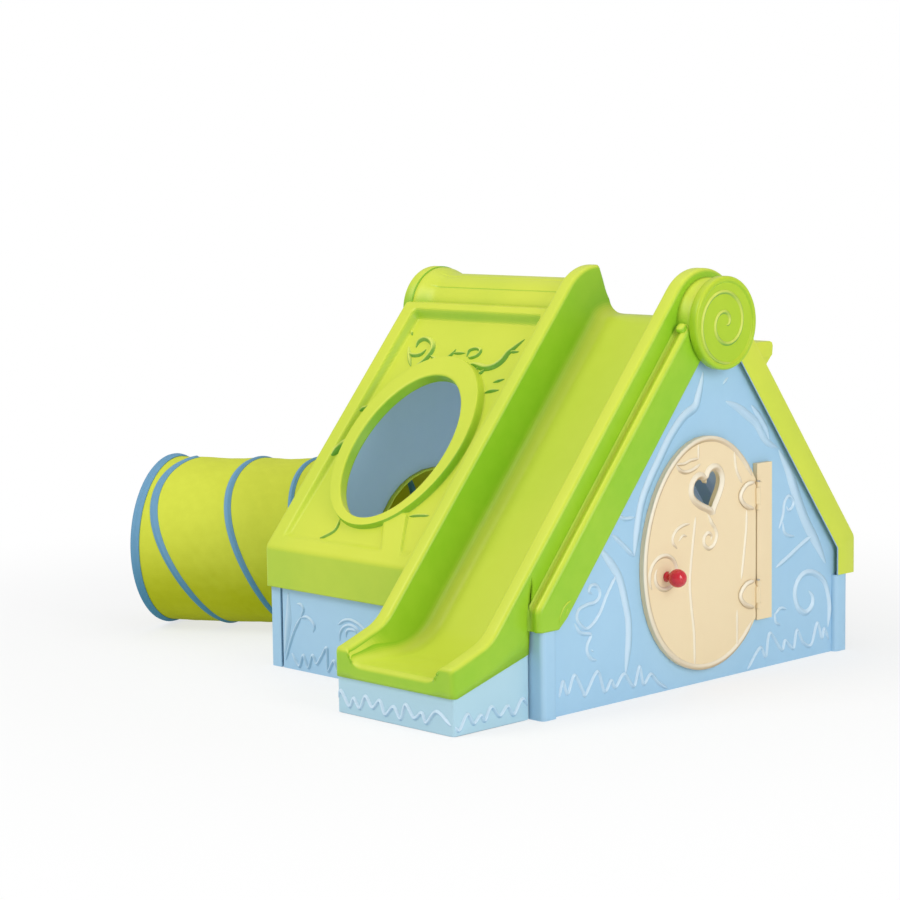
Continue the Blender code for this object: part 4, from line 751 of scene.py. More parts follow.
def field_relief():
    """Branches, curls and short dashes round the window."""
    hook = mm(-894, 680, -896, 699, -881, 711, -859, 708, -838, 695, -826, 675, -828, 650, -840, 624,
              -862, 600)
    strokes = [
        (hook, 1.3, 1.7, 3.0),
        (mm(-912, 660, -881, 654, -858, 660, -852, 677), 1.1, 1.4, 3.0),
        (mm(-822, 657, -784, 644, -755, 651, -743, 667, -740, 684), 0.9, 1.3, 3.0),
        (mm(-742, 670, -697, 673), 0.9, 1.2, 3.0),
        (mm(-684, 661, -686, 681, -667, 690, -647, 685, -646, 669, -664, 659, -680, 662), 0.9, 1.3, 3.0),
        (mm(-674, 626, -642, 638, -594, 630, -564, 638, -548, 656, -543, 681, -530, 702, -512, 730),
         1.7, 2.0, 6.0),
        (mm(-541, 686, -506, 689), 0.9, 1.3, 3.0),
        (mm(-610, 596, -588, 628), 1.0, 1.4, 3.0),
        (mm(-640, 604, -614, 630), 1.0, 1.4, 3.0),
        (mm(-545, 549, -528, 557, -500, 563), 1.0, 1.4, 3.0),
        (mm(-536, 585, -502, 599), 0.9, 1.2, 3.0),
        (mm(-950, 736, -936, 720), 0.8, 1.2, 3.0),
        (mm(-925, 682, -900, 649, -872, 617), 1.0, 1.2, 4.0),
        (mm(-558.5, 152, -526, 159, -492, 162), 0.8, 1.0, 3.0),
        (mm(-832, 50, -815.3, 58, -793.8, 77, -792.5, 95, -799.3, 116), 0.8, 1.1, 3.0),
        (mm(-958, 300, -951, 340, -946, 372), 1.2, 1.2, 3.0),
        (mm(-955, 452, -946, 480), 1.0, 1.2, 3.0),
    ]
    strokes = [(path, width * 1.2, rise * 1.35, taper) for path, width, rise, taper in strokes]
    light = ((-0.45, -0.1, 0.9), 0.1, 0.7)
    return relief("window_panel_relief", strokes, lay_field, light, "lime_relief", "lime_plastic")


# Slide

def cross(a, b):
    """Signed area a0 b1 - a1 b0 of two flat vectors."""
    return a[0] * b[1] - a[1] * b[0]


def slide_rows():
    """Slices along the slide: left rim, right rim, bed and the skirt's feet, each (n, 2)."""
    rim_low = np.array((SLIDE_FRONT + LIP_ROUND, RUNOUT_RIM_Z))
    ahead = np.array((math.cos(RUNOUT_SLOPE), math.sin(RUNOUT_SLOPE)))
    rim_line = EAVE + OUT * RIM_RISE
    across = rim_line - rim_low
    rim_corner = rim_low + ahead * cross(across, UP) / cross(ahead, UP)
    rim_top = EAVE + UP * ROOF_LENGTH + OUT * RIM_RISE
    bed_line = EAVE - OUT * BED_DEPTH
    bed_corner = bed_line + UP * (RUNOUT_BED_Z - bed_line[1]) / UP[1]
    saddle = bed_line + UP * (SADDLE_Z - bed_line[1]) / UP[1]
    rim_arc = corner_arc(rim_low, rim_corner, rim_top, RIM_BEND, 20)
    bed_arc = corner_arc((rim_low[0], RUNOUT_BED_Z), bed_corner, saddle, BED_BEND, 20)
    top_arc = corner_arc(bed_corner, saddle, (SADDLE_BACK_Y, SADDLE_Z), CREST_BEND, 28)
    first = 10
    rim = join_rows(line(rim_low, rim_arc[0], first), rim_arc)
    bed = join_rows(line((rim_low[0], RUNOUT_BED_Z), bed_arc[0], first), bed_arc)
    run = np.linalg.norm(rim_top - rim_arc[-1])
    eave_share = float((WALL_FACE_Y - rim_arc[-1][0]) / UP[0] / run)
    parts = join_rows(np.linspace(0, eave_share - 0.001, 12)[1:],
                      np.linspace(eave_share + 0.001, 1.0, 56)[:-1])
    rim = join_rows(rim, rim_arc[-1] + (rim_top - rim_arc[-1]) * parts[:, None])
    bed = join_rows(bed, bed_arc[-1] + (top_arc[0] - bed_arc[-1]) * parts[:, None])
    radius = ROOF_REACH + RIM_RISE
    turn = np.linspace(0.0, 1.0, 28)

    def over(end):
        angle = -ROOF_ANGLE + (math.radians(end) + ROOF_ANGLE) * turn
        return RIDGE + radius * np.stack((np.sin(angle), np.cos(angle)), 1)

    last = np.array((SADDLE_BACK_Y, SADDLE_Z))
    left_end = spline([over(2)[-1], RIDGE + (0.024, 0.088), (RIDGE[0] + 0.042, SADDLE_Z + 0.014)], 0.006)
    right_end = spline([over(40)[-1], RIDGE + (0.108, 0.061), (RIDGE[0] + 0.090, SADDLE_Z + 0.014)], 0.006)
    count = 14

    def pick(path):
        return path[np.linspace(0, len(path) - 1, count).round().astype(int)][1:]

    left = join_rows(rim, over(2), pick(left_end))
    right = join_rows(rim, over(40), pick(right_end))
    bed = join_rows(bed, top_arc, line(top_arc[-1], last, count, True)[1:])
    return left, right, bed


def skirt_feet(rim):
    """The skirt's lower edge below each rim point."""
    share = (rim[:, 0] - SLIDE_FRONT) / (EAVE[0] - SLIDE_FRONT)
    outside = np.stack((rim[:, 0], SKIRT_FRONT_Z + (SKIRT_REAR_Z - SKIRT_FRONT_Z) * share), 1)
    on_roof = rim - OUT * (RIM_RISE + SKIRT_DEPTH)
    eave = np.array((WALL_FACE_Y, 0.262))
    blend = smooth(rim[:, 0], WALL_FACE_Y, WALL_FACE_Y + 0.030)[:, None]
    on_roof = eave + (on_roof - eave) * blend
    spoke = rim - RIDGE
    length = np.linalg.norm(spoke, axis=1)
    foot = np.minimum(ROOF_REACH - SKIRT_DEPTH + WALL, length - 0.009)
    about = RIDGE + spoke / length[:, None] * foot[:, None]
    past = smooth((rim - EAVE) @ UP, ROOF_LENGTH - 0.02, ROOF_LENGTH)[:, None]
    on_roof = on_roof + (about - on_roof) * past
    return np.where((rim[:, 0] < WALL_FACE_Y)[:, None], outside, on_roof)


def slide_skin():
    """The slide: each slice is skirt, rounded rim, leaning wall, fillet and bed; the lip rolls down."""
    left, right, bed = slide_rows()
    skirt = (1.0, 0.7, 0.35)

    def half(rim, edge, inward):
        wall = rim - bed
        height = np.linalg.norm(wall, axis=1)
        lift_round = np.minimum(RIM_ROUND, 0.3 * height)
        fillet = np.minimum(BED_FILLET, 0.75 * (height - lift_round))
        turns = np.linspace(0.0, math.pi / 2, 7)
        columns = []

        def add(x, lift):
            columns.append((np.broadcast_to(x, height.shape), bed + wall * (lift / height)[:, None]))

        for turn in turns:
            add(edge + inward * RIM_ROUND * (1 - math.cos(turn)), height - lift_round * (1 - math.sin(turn)))
        inner = edge + inward * RIM_WIDTH
        for turn in turns[::-1]:
            add(inner - inward * RIM_ROUND * (1 - math.cos(turn)), height - lift_round * (1 - math.sin(turn)))
        lean = 0.008
        for share in (0.15, 0.4, 0.7):
            add(inner + inward * lean * share, (height - lift_round) * (1 - share) + fillet * share)
        for turn in np.linspace(0.0, math.pi / 2, 12):
            add(inner + inward * (lean + BED_FILLET * (1 - math.cos(turn))), fillet * (1 - math.sin(turn)))
        top, foot = columns[0][1], skirt_feet(rim)
        sides = [(np.full(len(rim), edge), top + (foot - top) * share) for share in skirt]
        return sides + columns

    left_part = half(left, SLIDE_LEFT, 1.0)
    right_part = half(right, SLIDE_RIGHT, -1.0)
    middle = [(np.full(len(bed), SLIDE_LEFT + (SLIDE_RIGHT - SLIDE_LEFT) * share), bed)
              for share in (0.4, 0.6)]
    columns = left_part + middle + right_part[::-1]
    rows = np.stack([np.column_stack((x, pair)) for x, pair in columns], 1)
    first = rows[0]
    middle_x = (SLIDE_LEFT + SLIDE_RIGHT) / 2
    half_width = (SLIDE_RIGHT - SLIDE_LEFT) / 2
    lip = []
    count = len(skirt)
    for turn in np.linspace(0.0, math.pi / 2, 9)[1:]:
        row = first.copy()
        inset = LIP_ROUND * (1 - math.cos(turn))
        row[:, 0] = middle_x + (row[:, 0] - middle_x) * (1 - inset / half_width)
        row[:, 1] -= LIP_ROUND * math.sin(turn)
        row[count:-count, 2] -= inset
        for side, top in ((row[:count], row[count]), (row[:-count - 1:-1], row[-count - 1])):
            foot = side[0, 2]
            side[:, 2] = top[2] + (foot - top[2]) * np.array(skirt)
        lip.append(row)
    body = np.concatenate((np.stack(lip[::-1]), rows))
    edge = lip[-1][count:-count]
    face = [edge]
    for share in skirt[::-1]:
        row = edge.copy()
        row[:, 2] += (lip[-1][0, 2] - edge[:, 2]) * share
        face.append(row)
    face = np.stack(face)
    front = quads(*face.shape[:2], offset=body[..., 0].size)[:, ::-1]
    faces = np.concatenate((quads(*body.shape[:2]), front))
    item = build("slide_skin", np.concatenate((body.reshape(-1, 3), face.reshape(-1, 3))), faces)
    weld(item.data)
    item.data.shade_smooth()
    fix_outward(item)
    skin(item, (0.0, OUT[0], OUT[1]), ((0.0, -0.25, 1.0), 0.05, 0.80), WALL,
         "green_moulding", "green_plastic", "slide_panel")
    shoulder_skin()
    return item


def shoulder_skin():
    """The slide's shoulder over the gable: valley, rounded bead and broad face."""
    line_z = EAVE[1] - SHOULDER_DEPTH / math.cos(ROOF_ANGLE)
    top = ROOF_LENGTH - 0.040
    top_end = EAVE + UP * top
    crest = round_path([(EAVE[0], LIP_Z), (EAVE[0], line_z), top_end - OUT * SHOULDER_DEPTH],
                       0.032, 14, (8, 60))
    corner_y = SHOULDER_FOOT_Y + 0.030
    face_line = EAVE - OUT * SHOULDER_FACE
    corner_z = face_line[1] + (corner_y - face_line[0]) * math.tan(ROOF_ANGLE)
    face = round_path([(SHOULDER_FOOT_Y, LIP_Z), (corner_y, corner_z), top_end - OUT * SHOULDER_FACE],
                      0.030, 14, (8, 60))
    span = SHOULDER_FACE - SHOULDER_DEPTH
    inner = SLIDE_RIGHT - WALL + 0.001
    bend = 0.015
    profile = [(inner, -0.004), (inner + 0.005, 0.003), (inner + 0.009, 0.0075), (inner + 0.014, 0.0095)]
    profile += [(inner + 0.019, 0.0085), (inner + 0.024, 0.005), (inner + 0.028, 0.0015)]
    for turn in np.linspace(0.12, math.pi / 2, 9):
        profile.append((RAKE_X - bend * (1 - math.sin(turn)), bend * (1 - math.cos(turn))))
    for share in (0.3, 0.5, 0.7, 0.85, 0.95):
        profile.append((RAKE_X, span * share))
    profile += [(RAKE_X - 0.001, span * 0.985), (RAKE_X - 0.004, span)]
    columns = []
    for x, drop in profile:
        pair = crest + (face - crest) * (drop / span)
        columns.append(np.column_stack((np.full(len(pair), x), pair)))
    item = surface("slide_shoulder_skin", np.stack(columns, 1))
    skin(item, (1.0, 0.0, 0.3), SHOULDER_LIGHT, WALL * 0.8, "green_moulding", "green_plastic")
    shoulder_relief()
    ridge_drum()
    bead_nose()


def shoulder_relief():
    """Two short leaf lines on the shoulder's foot."""
    def lay(flat, height):
        return np.column_stack((RAKE_X + height, flat))

    strokes = [(mm(-546, 230, -541, 249, -526, 271, -504, 284), 0.7, 0.7, 3.0),
               (mm(-525, 246, -514, 266), 0.5, 0.5, 3.0)]
    return relief("slide_shoulder_relief", strokes, lay, SHOULDER_LIGHT, "green_moulding", "green_plastic")


def ridge_drum():
    """The part-round wrap behind the door end's disc, flared where it meets the slide's wall."""
    angle = np.radians(np.linspace(-118.0, 46.0, 70))
    across = np.array((-0.042, -0.030, -0.018, -0.006, 0.0075))
    reach = np.array((0.1150, 0.1128, 0.1122, 0.1120, 0.1120))
    drum = surface("slide_ridge_drum", spun(across[:, None], RIDGE, reach[:, None], angle))
    light = ((0.0, -0.35, 1.0), 0.05, 0.95)
    return skin(drum, (0.0, 0.0, 1.0), light, WALL, "green_moulding", "green_plastic")


def bead_nose():
    """Rounded upper end of the shoulder's bead: a superellipsoid with powers s(t) = sign t |t| ** 0.7."""
    def soft(value):
        return np.sign(value) * np.abs(value) ** 0.7

    u, v = np.meshgrid(np.linspace(-math.pi / 2, math.pi / 2, 15),
                       np.linspace(0, math.tau, 28, endpoint=False), indexing="ij")
    along, outwards = 0.013 * soft(np.cos(u)) * soft(np.cos(v)), 0.010 * soft(np.sin(u))
    middle = EAVE + UP * (ROOF_LENGTH - 0.086) - OUT * 0.034
    pair = middle + UP * along[..., None] + OUT * outwards[..., None]
    knob = np.stack((-0.014 + 0.013 * soft(np.cos(u)) * soft(np.sin(v)), pair[..., 0], pair[..., 1]), -1)
    nose = surface("slide_bead_nose", knob, False, True)
    weld(nose.data)
    fix_outward(nose)
    face_light(nose, *SHOULDER_LIGHT)
    dress(nose, plastic("green_moulding"), "green_plastic", "house")


# Ridge

def spun(x, centre, radius, angle):
    """Points (x, y0 + r sin a, z0 + r cos a) about a line along X."""
    x, radius, angle = np.broadcast_arrays(x, radius, angle)
    return np.stack((x, centre[0] + radius * np.sin(angle), centre[1] + radius * np.cos(angle)), -1)


def ridge_cap():
    """The half-round cap: radius grows toward its end disc and dips in faint long grooves."""
    angle = np.linspace(math.radians(-93), math.radians(93), 160)
    x = np.concatenate((np.linspace(-1.0045, -0.90, 30)[:-1], np.linspace(-0.90, -0.4573, 24)))
    flare = 0.016 * (1 - smooth(x, -1.000, -0.925)) ** 1.5
    grooves = np.radians((-79, -49, -20, 12, 42, 72))
    groove = np.exp(-((angle - grooves[:, None]) / math.radians(1.4)) ** 2).sum(0)
    fade = smooth(x, -0.985, -0.93)
    radius = 0.100 + flare[:, None] - 0.0024 * groove[None] * fade[:, None]
    item = surface("ridge_cap_skin", spun(x[:, None], RIDGE, radius, angle))
    light = ((-0.35, -0.15, 1.0), -0.05, 0.55)
    return skin(item, (0.0, 0.0, 1.0), light, WALL, "lime_moulding", "lime_plastic", "ridge_cap")


def turned_piece(name, profile, centre, steps=96):
    """Solid of revolution of (x, r) rows about a line along X, with flat ends."""
    profile = np.asarray(profile, float)
    angle = np.arange(steps) * math.tau / steps
    points = spun(profile[:, :1], centre, profile[:, 1:], angle)
    faces = quads(len(profile), steps, False, True)
    last = (len(profile) - 1) * steps
    item = build(name, points, faces, [list(range(steps)), list(range(last, last + steps))[::-1]])
    fix_outward(item)
    return item


def ridge_disc(node, back_x, front, sign, material, slot_name):
    """End disc: rounded rim, shallow dish with a filleted wall, and a raised spiral r = a + b t."""
    radius, rim, dish = 0.119, 0.0125, 0.0045
    turns = np.linspace(0.0, math.pi / 2, 8)
    profile = [(front - sign * dish, reach) for reach in (0.003, 0.05, radius - rim - 0.006)]
    profile += [(front - sign * dish * (1 - smooth(step)), radius - rim - 0.005 + 0.006 * step)
                for step in np.linspace(0.1, 1.0, 8)]
    edge = 0.0065
    profile += [(front - sign * edge * (1 - math.cos(turn)), radius - edge * (1 - math.sin(turn)))
                for turn in turns]
    profile += [(back_x + sign * 0.002, radius), (back_x, radius - 0.002), (back_x, 0.003)]
    item = turned_piece(node + "_skin", profile, RIDGE)
    face_light(item, (sign * 0.6, -0.2, 1.0), 0.2, 0.9)
    dress(item, material, slot_name, "house", node)
    angle = np.linspace(-1.2, 3.62 * math.pi, 150)
    reach = 0.0144 + 0.0256 * angle / math.pi
    path = np.stack((RIDGE[0] + reach * np.cos(angle), RIDGE[1] + reach * np.sin(angle)), 1)
    path[:, 0] = RIDGE[0] + (path[:, 0] - RIDGE[0]) * sign

    def lay(flat, height):
        return np.column_stack((front - sign * dish + sign * height, flat))

    light = ((sign * 0.3, -0.75, 0.6), -0.3, 0.9)
    return relief(node + "_spiral", [(path[::3], 0.95, 0.95, 4.0)], lay, light, "lime_relief", slot_name)


# Walls

def lay_gable(flat, height):
    """(y, z) and height to house coordinates, on the door gable's sunk panel."""
    return np.column_stack((PANEL_X + height, flat))


def gable_relief():
    """Trunk edges, vines, curls and grass on the door gable."""
    grass_left = mm(-529, 44, -515, 83, -498, 51, -474, 92, -444, 50, -434, 38, -391, 88, -365, 35,
                    -341, 58, -325, 39, -293, 67, -257, 31, -236, 77, -220, 31, -193, 51, -160, 22,
                    -128, 4)
    grass_right = mm(190, 4, 242, 54, 266, 28, 283, 87, 333, 36, 348, 58, 383, 33, 398, 79, 427, 41,
                     460, 31, 486, 86, 507, 43, 517, 66, 538, 34)
    strokes = [
        (mm(12, 800, 6, 776, -8, 737, -21, 713, -65, 692, -112, 650, -160, 590, -201, 534, -226, 487,
            -242, 424, -253, 358), 2.4, 1.5, 5.0),
        (mm(-253, 358, -299, 395, -334, 423), 1.2, 1.2, 3.0),
        (mm(-314, 472, -290, 457, -250, 456), 1.1, 1.1, 3.0),
        (mm(-384, 398, -331, 342, -307, 307, -288, 250, -276, 199, -276, 144, -287, 66), 2.2, 1.4, 5.0),
        (mm(-319, 322, -355, 275, -381, 233, -411, 207, -435, 202, -462, 228, -457, 251, -426, 260,
            -399, 262, -383, 273, -381, 289, -395, 304, -414, 304, -420, 292, -407, 284), 1.0, 1.2, 4.0),
        (mm(-473, 221, -450, 194, -415, 184, -427, 161, -427, 142, -412, 123, -392, 117), 1.0, 1.2, 4.0),
        (mm(-414, 147, -404, 140), 0.8, 0.9, 3.0),
        (grass_left, 1.0, 1.3, 3.0),
        (mm(89, 762, 101, 772, 112, 779), 0.9, 0.9, 3.0),
        (mm(101, 718, 146, 700, 191, 674, 226, 650, 262, 606, 290, 588, 315, 579), 2.2, 1.1, 6.0),
        (mm(205, 700, 240, 665, 268, 630, 279, 602), 1.6, 1.0, 4.0),
        (mm(319, 573, 362, 510, 398, 435, 438, 364, 483, 304, 522, 246),
         3.0, 1.2, 6.0),
        (mm(320, 362, 337, 397, 343, 429, 361, 445, 381, 431, 376, 414, 361, 408, 352, 420), 1.0, 1.2, 4.0),
        (mm(336, 380, 342, 354, 359, 340, 388, 334), 1.0, 1.1, 4.0),
        (mm(306, 259, 360, 282, 421, 311, 468, 329), 1.3, 1.2, 4.0),
        (mm(534, 68, 540, 129, 519, 193, 474, 224, 430, 229, 399, 209, 389, 177, 404, 139, 435, 122,
            462, 136, 466, 161, 448, 180),
         1.6, 1.5, 5.0),
        (mm(303, 140, 308, 114, 329, 102), 0.9, 1.1, 3.0),
        (mm(303, 134, 327, 148, 355, 142), 0.9, 1.1, 3.0),
        (grass_right, 1.0, 1.3, 3.0),
    ]
    return relief("door_gable_relief", strokes, lay_gable, RELIEF_LIGHT, "light_blue_relief",
                  "light_blue_plastic")


def wall_relief():
    """Trunk, stem, leaf, nested arcs and grass on the low wall under the window."""
    face = -0.5995

    def lay(flat, height):
        return np.column_stack((flat[:, 0], face - height, flat[:, 1]))

    strokes = [
        (mm(-884, 146, -907, 114, -924, 83, -939, 48, -950, 20), 1.0, 1.2, 4.0),
        (mm(-901, 179, -885, 179, -874, 169, -877, 158, -886, 144), 0.9, 1.1, 3.0),
        (mm(-886, 144, -861, 148, -844, 141, -831, 128, -837, 110), 0.9, 1.1, 3.0),
        (mm(-738, 143, -715, 157, -691, 162, -667, 158, -647, 150, -630, 138, -618, 112), 0.9, 1.1, 4.0),
        (mm(-732, 100, -729, 123, -715, 140, -691, 148, -668, 143, -650, 130),
         0.9, 1.0, 4.0),
        (mm(-707, 113, -705, 128, -695, 136, -674, 137, -664, 128), 0.9, 1.0, 3.0),
        (mm(-925, 44, -895, 12, -878, 43, -858, 13, -841, 48, -824, 28, -804, 51, -783, 75, -780, 16,
            -756, 45, -740, 20, -712, 56),
         1.0, 1.3, 3.0),
        (mm(-934, 205, -936, 139, -945, 85, -953, 40), 2.4, 1.0, 6.0),
        (mm(-560, 20, -535, 60, -515, 24, -490, 50), 1.0, 1.2, 3.0),
    ]
    light = ((-0.5, -0.35, 0.8), -0.2, 1.0)
    return relief("front_low_wall_relief", strokes, lay, light, "light_blue_relief", "light_blue_plastic")


def base_relief():
    """The zigzag water line round the slide's base."""
    front, side = -0.8585, -0.0435
    zigzag = mm(-447, 36, -438, 54, -408, 20, -392, 42, -370, 21, -349, 53, -324, 29, -298, 50, -279, 19,
                -249, 42, -225, 17, -207, 54, -178, 26, -151, 42, -135, 21, -100, 53, -52, 26)
    beyond = mm(-853, 24, -839, 14, -813, 47, -792, 22, -769, 38, -755, 23, -733, 52, -705, 26, -678, 45,
                -657, 21, -628, 54, -610, 36)
    pieces = (
        ("slide_base_front_relief", zigzag, lambda f, h: np.column_stack((f[:, 0], front - h, f[:, 1]))),
        ("slide_base_side_relief", beyond, lambda f, h: np.column_stack((side + h, f[:, 0], f[:, 1]))),
    )
    for name, path, lay in pieces:
        relief(name, [(path, 1.0, 1.3, 3.0)], lay, ((0.1, -0.5, 0.8), -0.4, 0.6),
               "light_blue_relief", "light_blue_plastic")


# Door

def egg(growth):
    """y = y0 + (w + g)(1 - k sin t) cos t, z = z0 + (h + g) sin t, from the hinge edge round."""
    turn = np.linspace(0.0, math.tau, 160, endpoint=False)
    width = (DOOR_HALF[0] + growth) * (1 - DOOR_TAPER * np.sin(turn))
    return np.stack((DOOR_Y + width * np.cos(turn), DOOR_Z + (DOOR_HALF[1] + growth) * np.sin(turn)), 1)


def heart(growth):
    """x = 16 sin^3 t, y = 13 cos t - 5 cos 2t - 2 cos 3t - cos 4t, scaled, turned and grown."""
    turn = (np.arange(72) + 0.5) * math.tau / 72
    unit = HEART_WIDTH / 32
    across = 16 * np.sin(turn) ** 3 * unit
    high = (13 * np.cos(turn) - 5 * np.cos(2 * turn) - 2 * np.cos(3 * turn) - np.cos(4 * turn)) * unit
    cosine, sine = math.cos(HEART_TILT), math.sin(HEART_TILT)
    flat = np.stack((across * cosine - high * sine, across * sine + high * cosine), 1)
    flat += flat / np.linalg.norm(flat, axis=1)[:, None] * growth
    return flat + (HEART_Y, HEART_Z)


def door_relief():
    """Rim, plank lines, heart frame, curls, straps and the spiral round the knob."""
    outline = egg(-0.0075)
    outline = np.roll(outline, -int(np.argmax(outline[:, 0])), axis=0)
    rim = outline[outline[:, 0] < HINGE_EDGE_Y - 0.012]
    spiral_turn = np.linspace(0.35, 3.55 * math.pi, 60)
    spiral_reach = 0.030 + 0.0095 * spiral_turn / math.pi * 1.05
    spiral = np.stack((KNOB[0] - 0.008 + spiral_reach * 1.08 * np.cos(spiral_turn + 2.2),
                       KNOB[1] + 0.006 + spiral_reach * np.sin(spiral_turn + 2.2)), 1)
    frame_path = heart(0.0095)
    frame_path = np.concatenate((frame_path, frame_path[:2]))
    strokes = [
        (rim[::2], 1.35, 1.05, 4.0),
        (frame_path, 1.75, 2.1, 1.0),
        (mm(12, 438, 28, 412, 40, 398, 47, 379, 36, 356, 16, 348, -2, 360, -3, 378, 12, 388, 26, 380,
            24, 368), 1.05, 1.3, 4.0),
        (mm(-112, 576, -96, 560, -74, 553, -45, 557, -17, 569), 1.0, 1.3, 3.0),
        (mm(-112, 576, -80, 575, -55, 581, -23, 583), 0.8, 0.8, 3.0),
        (mm(-24, 620, -25, 580), 0.8, 0.8, 3.0),
        (mm(-36, 436, -46, 375, -55, 312, -59, 266, -53, 205, -43, 139, -40, 52), 0.9, 0.95, 4.0),
        (mm(117, 588, 126, 540, 149, 503), 0.9, 1.0, 3.0),
        (mm(168, 432, 166, 384, 156, 312, 146, 252), 0.9, 0.9, 4.0),
        (mm(129, 174, 129, 70), 0.8, 0.9, 4.0),
        (spiral[:42], 1.1, 1.2, 5.0),
        (mm(-107, 362, -124, 379, -123, 396, -107, 411, -81, 419, -58, 420),
         0.9, 1.1, 4.0),
        (mm(-102, 380, -87, 392, -69, 389), 0.7, 0.8, 3.0),
    ]
    relief("door_relief", strokes, lambda flat, height: np.column_stack((height, flat)),
           RELIEF_LIGHT, "cream_relief", "cream_plastic", "door")
    outlines = []
    for height in (0.205, 0.465):
        outlines.append(([(0.196, height + 0.036), (0.162, height + 0.030), (0.140, height + 0.006),
                          (0.156, height - 0.018), (0.194, height - 0.034)], 1.2, 1.0, 2.0))
    relief("door_strap_relief", outlines, lambda flat, height: np.column_stack((0.0042 + height, flat)),
           RELIEF_LIGHT, "cream_relief", "cream_plastic", "door", 0.003)


def door_knob():
    """The round knob: neck with a fillet, then a sphere."""
    radius, reach, neck = 0.0235, 0.036, 0.010
    profile = [(0.0006, 0.002), (0.0006, neck * 1.35), (0.0016, neck * 1.22), (0.0035, neck * 1.05),
               (0.0060, neck)]
    start = math.asin(neck / radius) + 0.06
    for turn in np.linspace(start, math.pi - 0.06, 40):
        profile.append((reach - radius * math.cos(turn), radius * math.sin(turn)))
    item = turned_piece("door_knob_skin", profile, KNOB, 72)
    face_light(item, WALL_LIGHT)
    return dress(item, plastic("red_moulding"), "red_plastic", "door", "door_knob_outer")


# Tunnel

def tunnel_frame(part):
    """Centre, direction and side of the tunnel's Bezier centre line for parts from 0 to 1."""
    part = np.asarray(part, float)[..., None]
    rest = 1.0 - part
    a, b, c, d = TUNNEL
    here = a * rest ** 3 + b * 3 * rest ** 2 * part + c * 3 * rest * part ** 2 + d * part ** 3
    ahead = (b - a) * 3 * rest ** 2 + (c - b) * 6 * rest * part + (d - c) * 3 * part ** 2
    ahead = ahead / np.linalg.norm(ahead, axis=-1)[..., None]
    return here, ahead, np.stack((-ahead[..., 1], ahead[..., 0]), -1)


def tunnel_points(part, turn, radius):
    """Point at a part of the length, an angle from the top and a radius."""
    here, side = tunnel_frame(part)[::2]
    flat = here + side * (radius * np.sin(turn))[..., None]
    return np.stack((flat[..., 0], flat[..., 1], TUNNEL_Z + radius * np.cos(turn)), -1)


def tunnel_length():
    """Length of the centre line."""
    here = tunnel_frame(np.linspace(0.0, 1.0, 400))[0]
    return float(np.linalg.norm(np.diff(here, axis=0), axis=1).sum())


def cloth_radius(part):
    """Radius at a part of the length: drawn in over the collar, then full."""
    full = TUNNEL_RADIUS * math.cos(math.pi / 24) - 0.003
    gathered = COLLAR_RADIUS + COLLAR_LIP + CLOTH_GAP + CLOTH_WALL
    return gathered + (full - gathered) * smooth(part, 0.05, 0.10)


def hoop_back(turn):
    """Distance of the binding from the open end: s + p t / tau + l (1 - cos t) - w sin t - v sin 2t."""
    return (HOOP_START + HOOP_PITCH * turn / math.tau + HOOP_LEAN * (1 - np.cos(turn))
            - HOOP_TWIST * np.sin(turn) - HOOP_RIPPLE * np.sin(2 * turn))


def tunnel_cloth():
    """Cloth tube that sinks between hoops: r = r0 - w sin^2(pi p), less folds, p counting hoops."""
    values = settings()
    length = tunnel_length()
    part = np.linspace(0.0, 1.0, 220)
    turn = np.linspace(0.0, math.tau, 200, endpoint=False)
    grid_part, grid_turn = np.meshgrid(part, turn, indexing="ij")
    back = (1.0 - grid_part) * length
    phase = (back - hoop_back(grid_turn)) / HOOP_PITCH
    sag = np.sin(math.pi * phase) ** 2
    hang = 0.6 + 0.4 * np.cos(grid_turn)
    twist = grid_turn * 9 + 3.0 * np.sin(grid_part * 19)
    folds = 0.5 * np.sin(twist) * np.sin(grid_part * 37 + grid_turn * 2)
    folds += 0.5 * np.sin(grid_turn * 23 + grid_part * 55) * np.sin(grid_part * 71)
    loose = smooth(grid_part, 0.06, 0.14) * (1 - smooth(grid_part, 0.93, 0.985)) * sag
    gather = (1 - smooth(grid_part, 0.02, 0.12)) * np.cos(grid_turn * 44) * 0.0008
    radius = cloth_radius(grid_part) - 0.0008 - values.wrinkle * loose * (hang + 0.35 * folds) + gather
    points = tunnel_points(grid_part, grid_turn, radius)
    sleeve = points[:1] + np.array((0.030, 0.0, 0.0))
    points = np.concatenate((sleeve, points))
    item = surface("tunnel_cloth", points, False, True)
    outward(item, SHIFT + np.array((-1.36, -0.14, TUNNEL_Z)))
    face_light(item, *CLOTH_LIGHT)
    for name, field in (("around", grid_turn * TUNNEL_RADIUS), ("lengthwise", grid_part * length)):
        store(item.data, name, np.concatenate((field[:1], field)))
    thicken(item, CLOTH_WALL)
    paint = cloth("tunnel_weave", (176, 184, 0), (220, 227, 78), 2600.0)
    dress(item, paint, "green_cloth", None, "tunnel_fabric")
    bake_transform(item)
    tunnel_binding()
    return item


def outward(item, middle):
    """Make a tube's faces point away from a middle point."""
    spoke = face_array(item.data, "center", 3) - np.asarray(middle)
    if (face_array(item.data, "normal", 3) * spoke).sum() < 0:
        item.data.flip_normals()


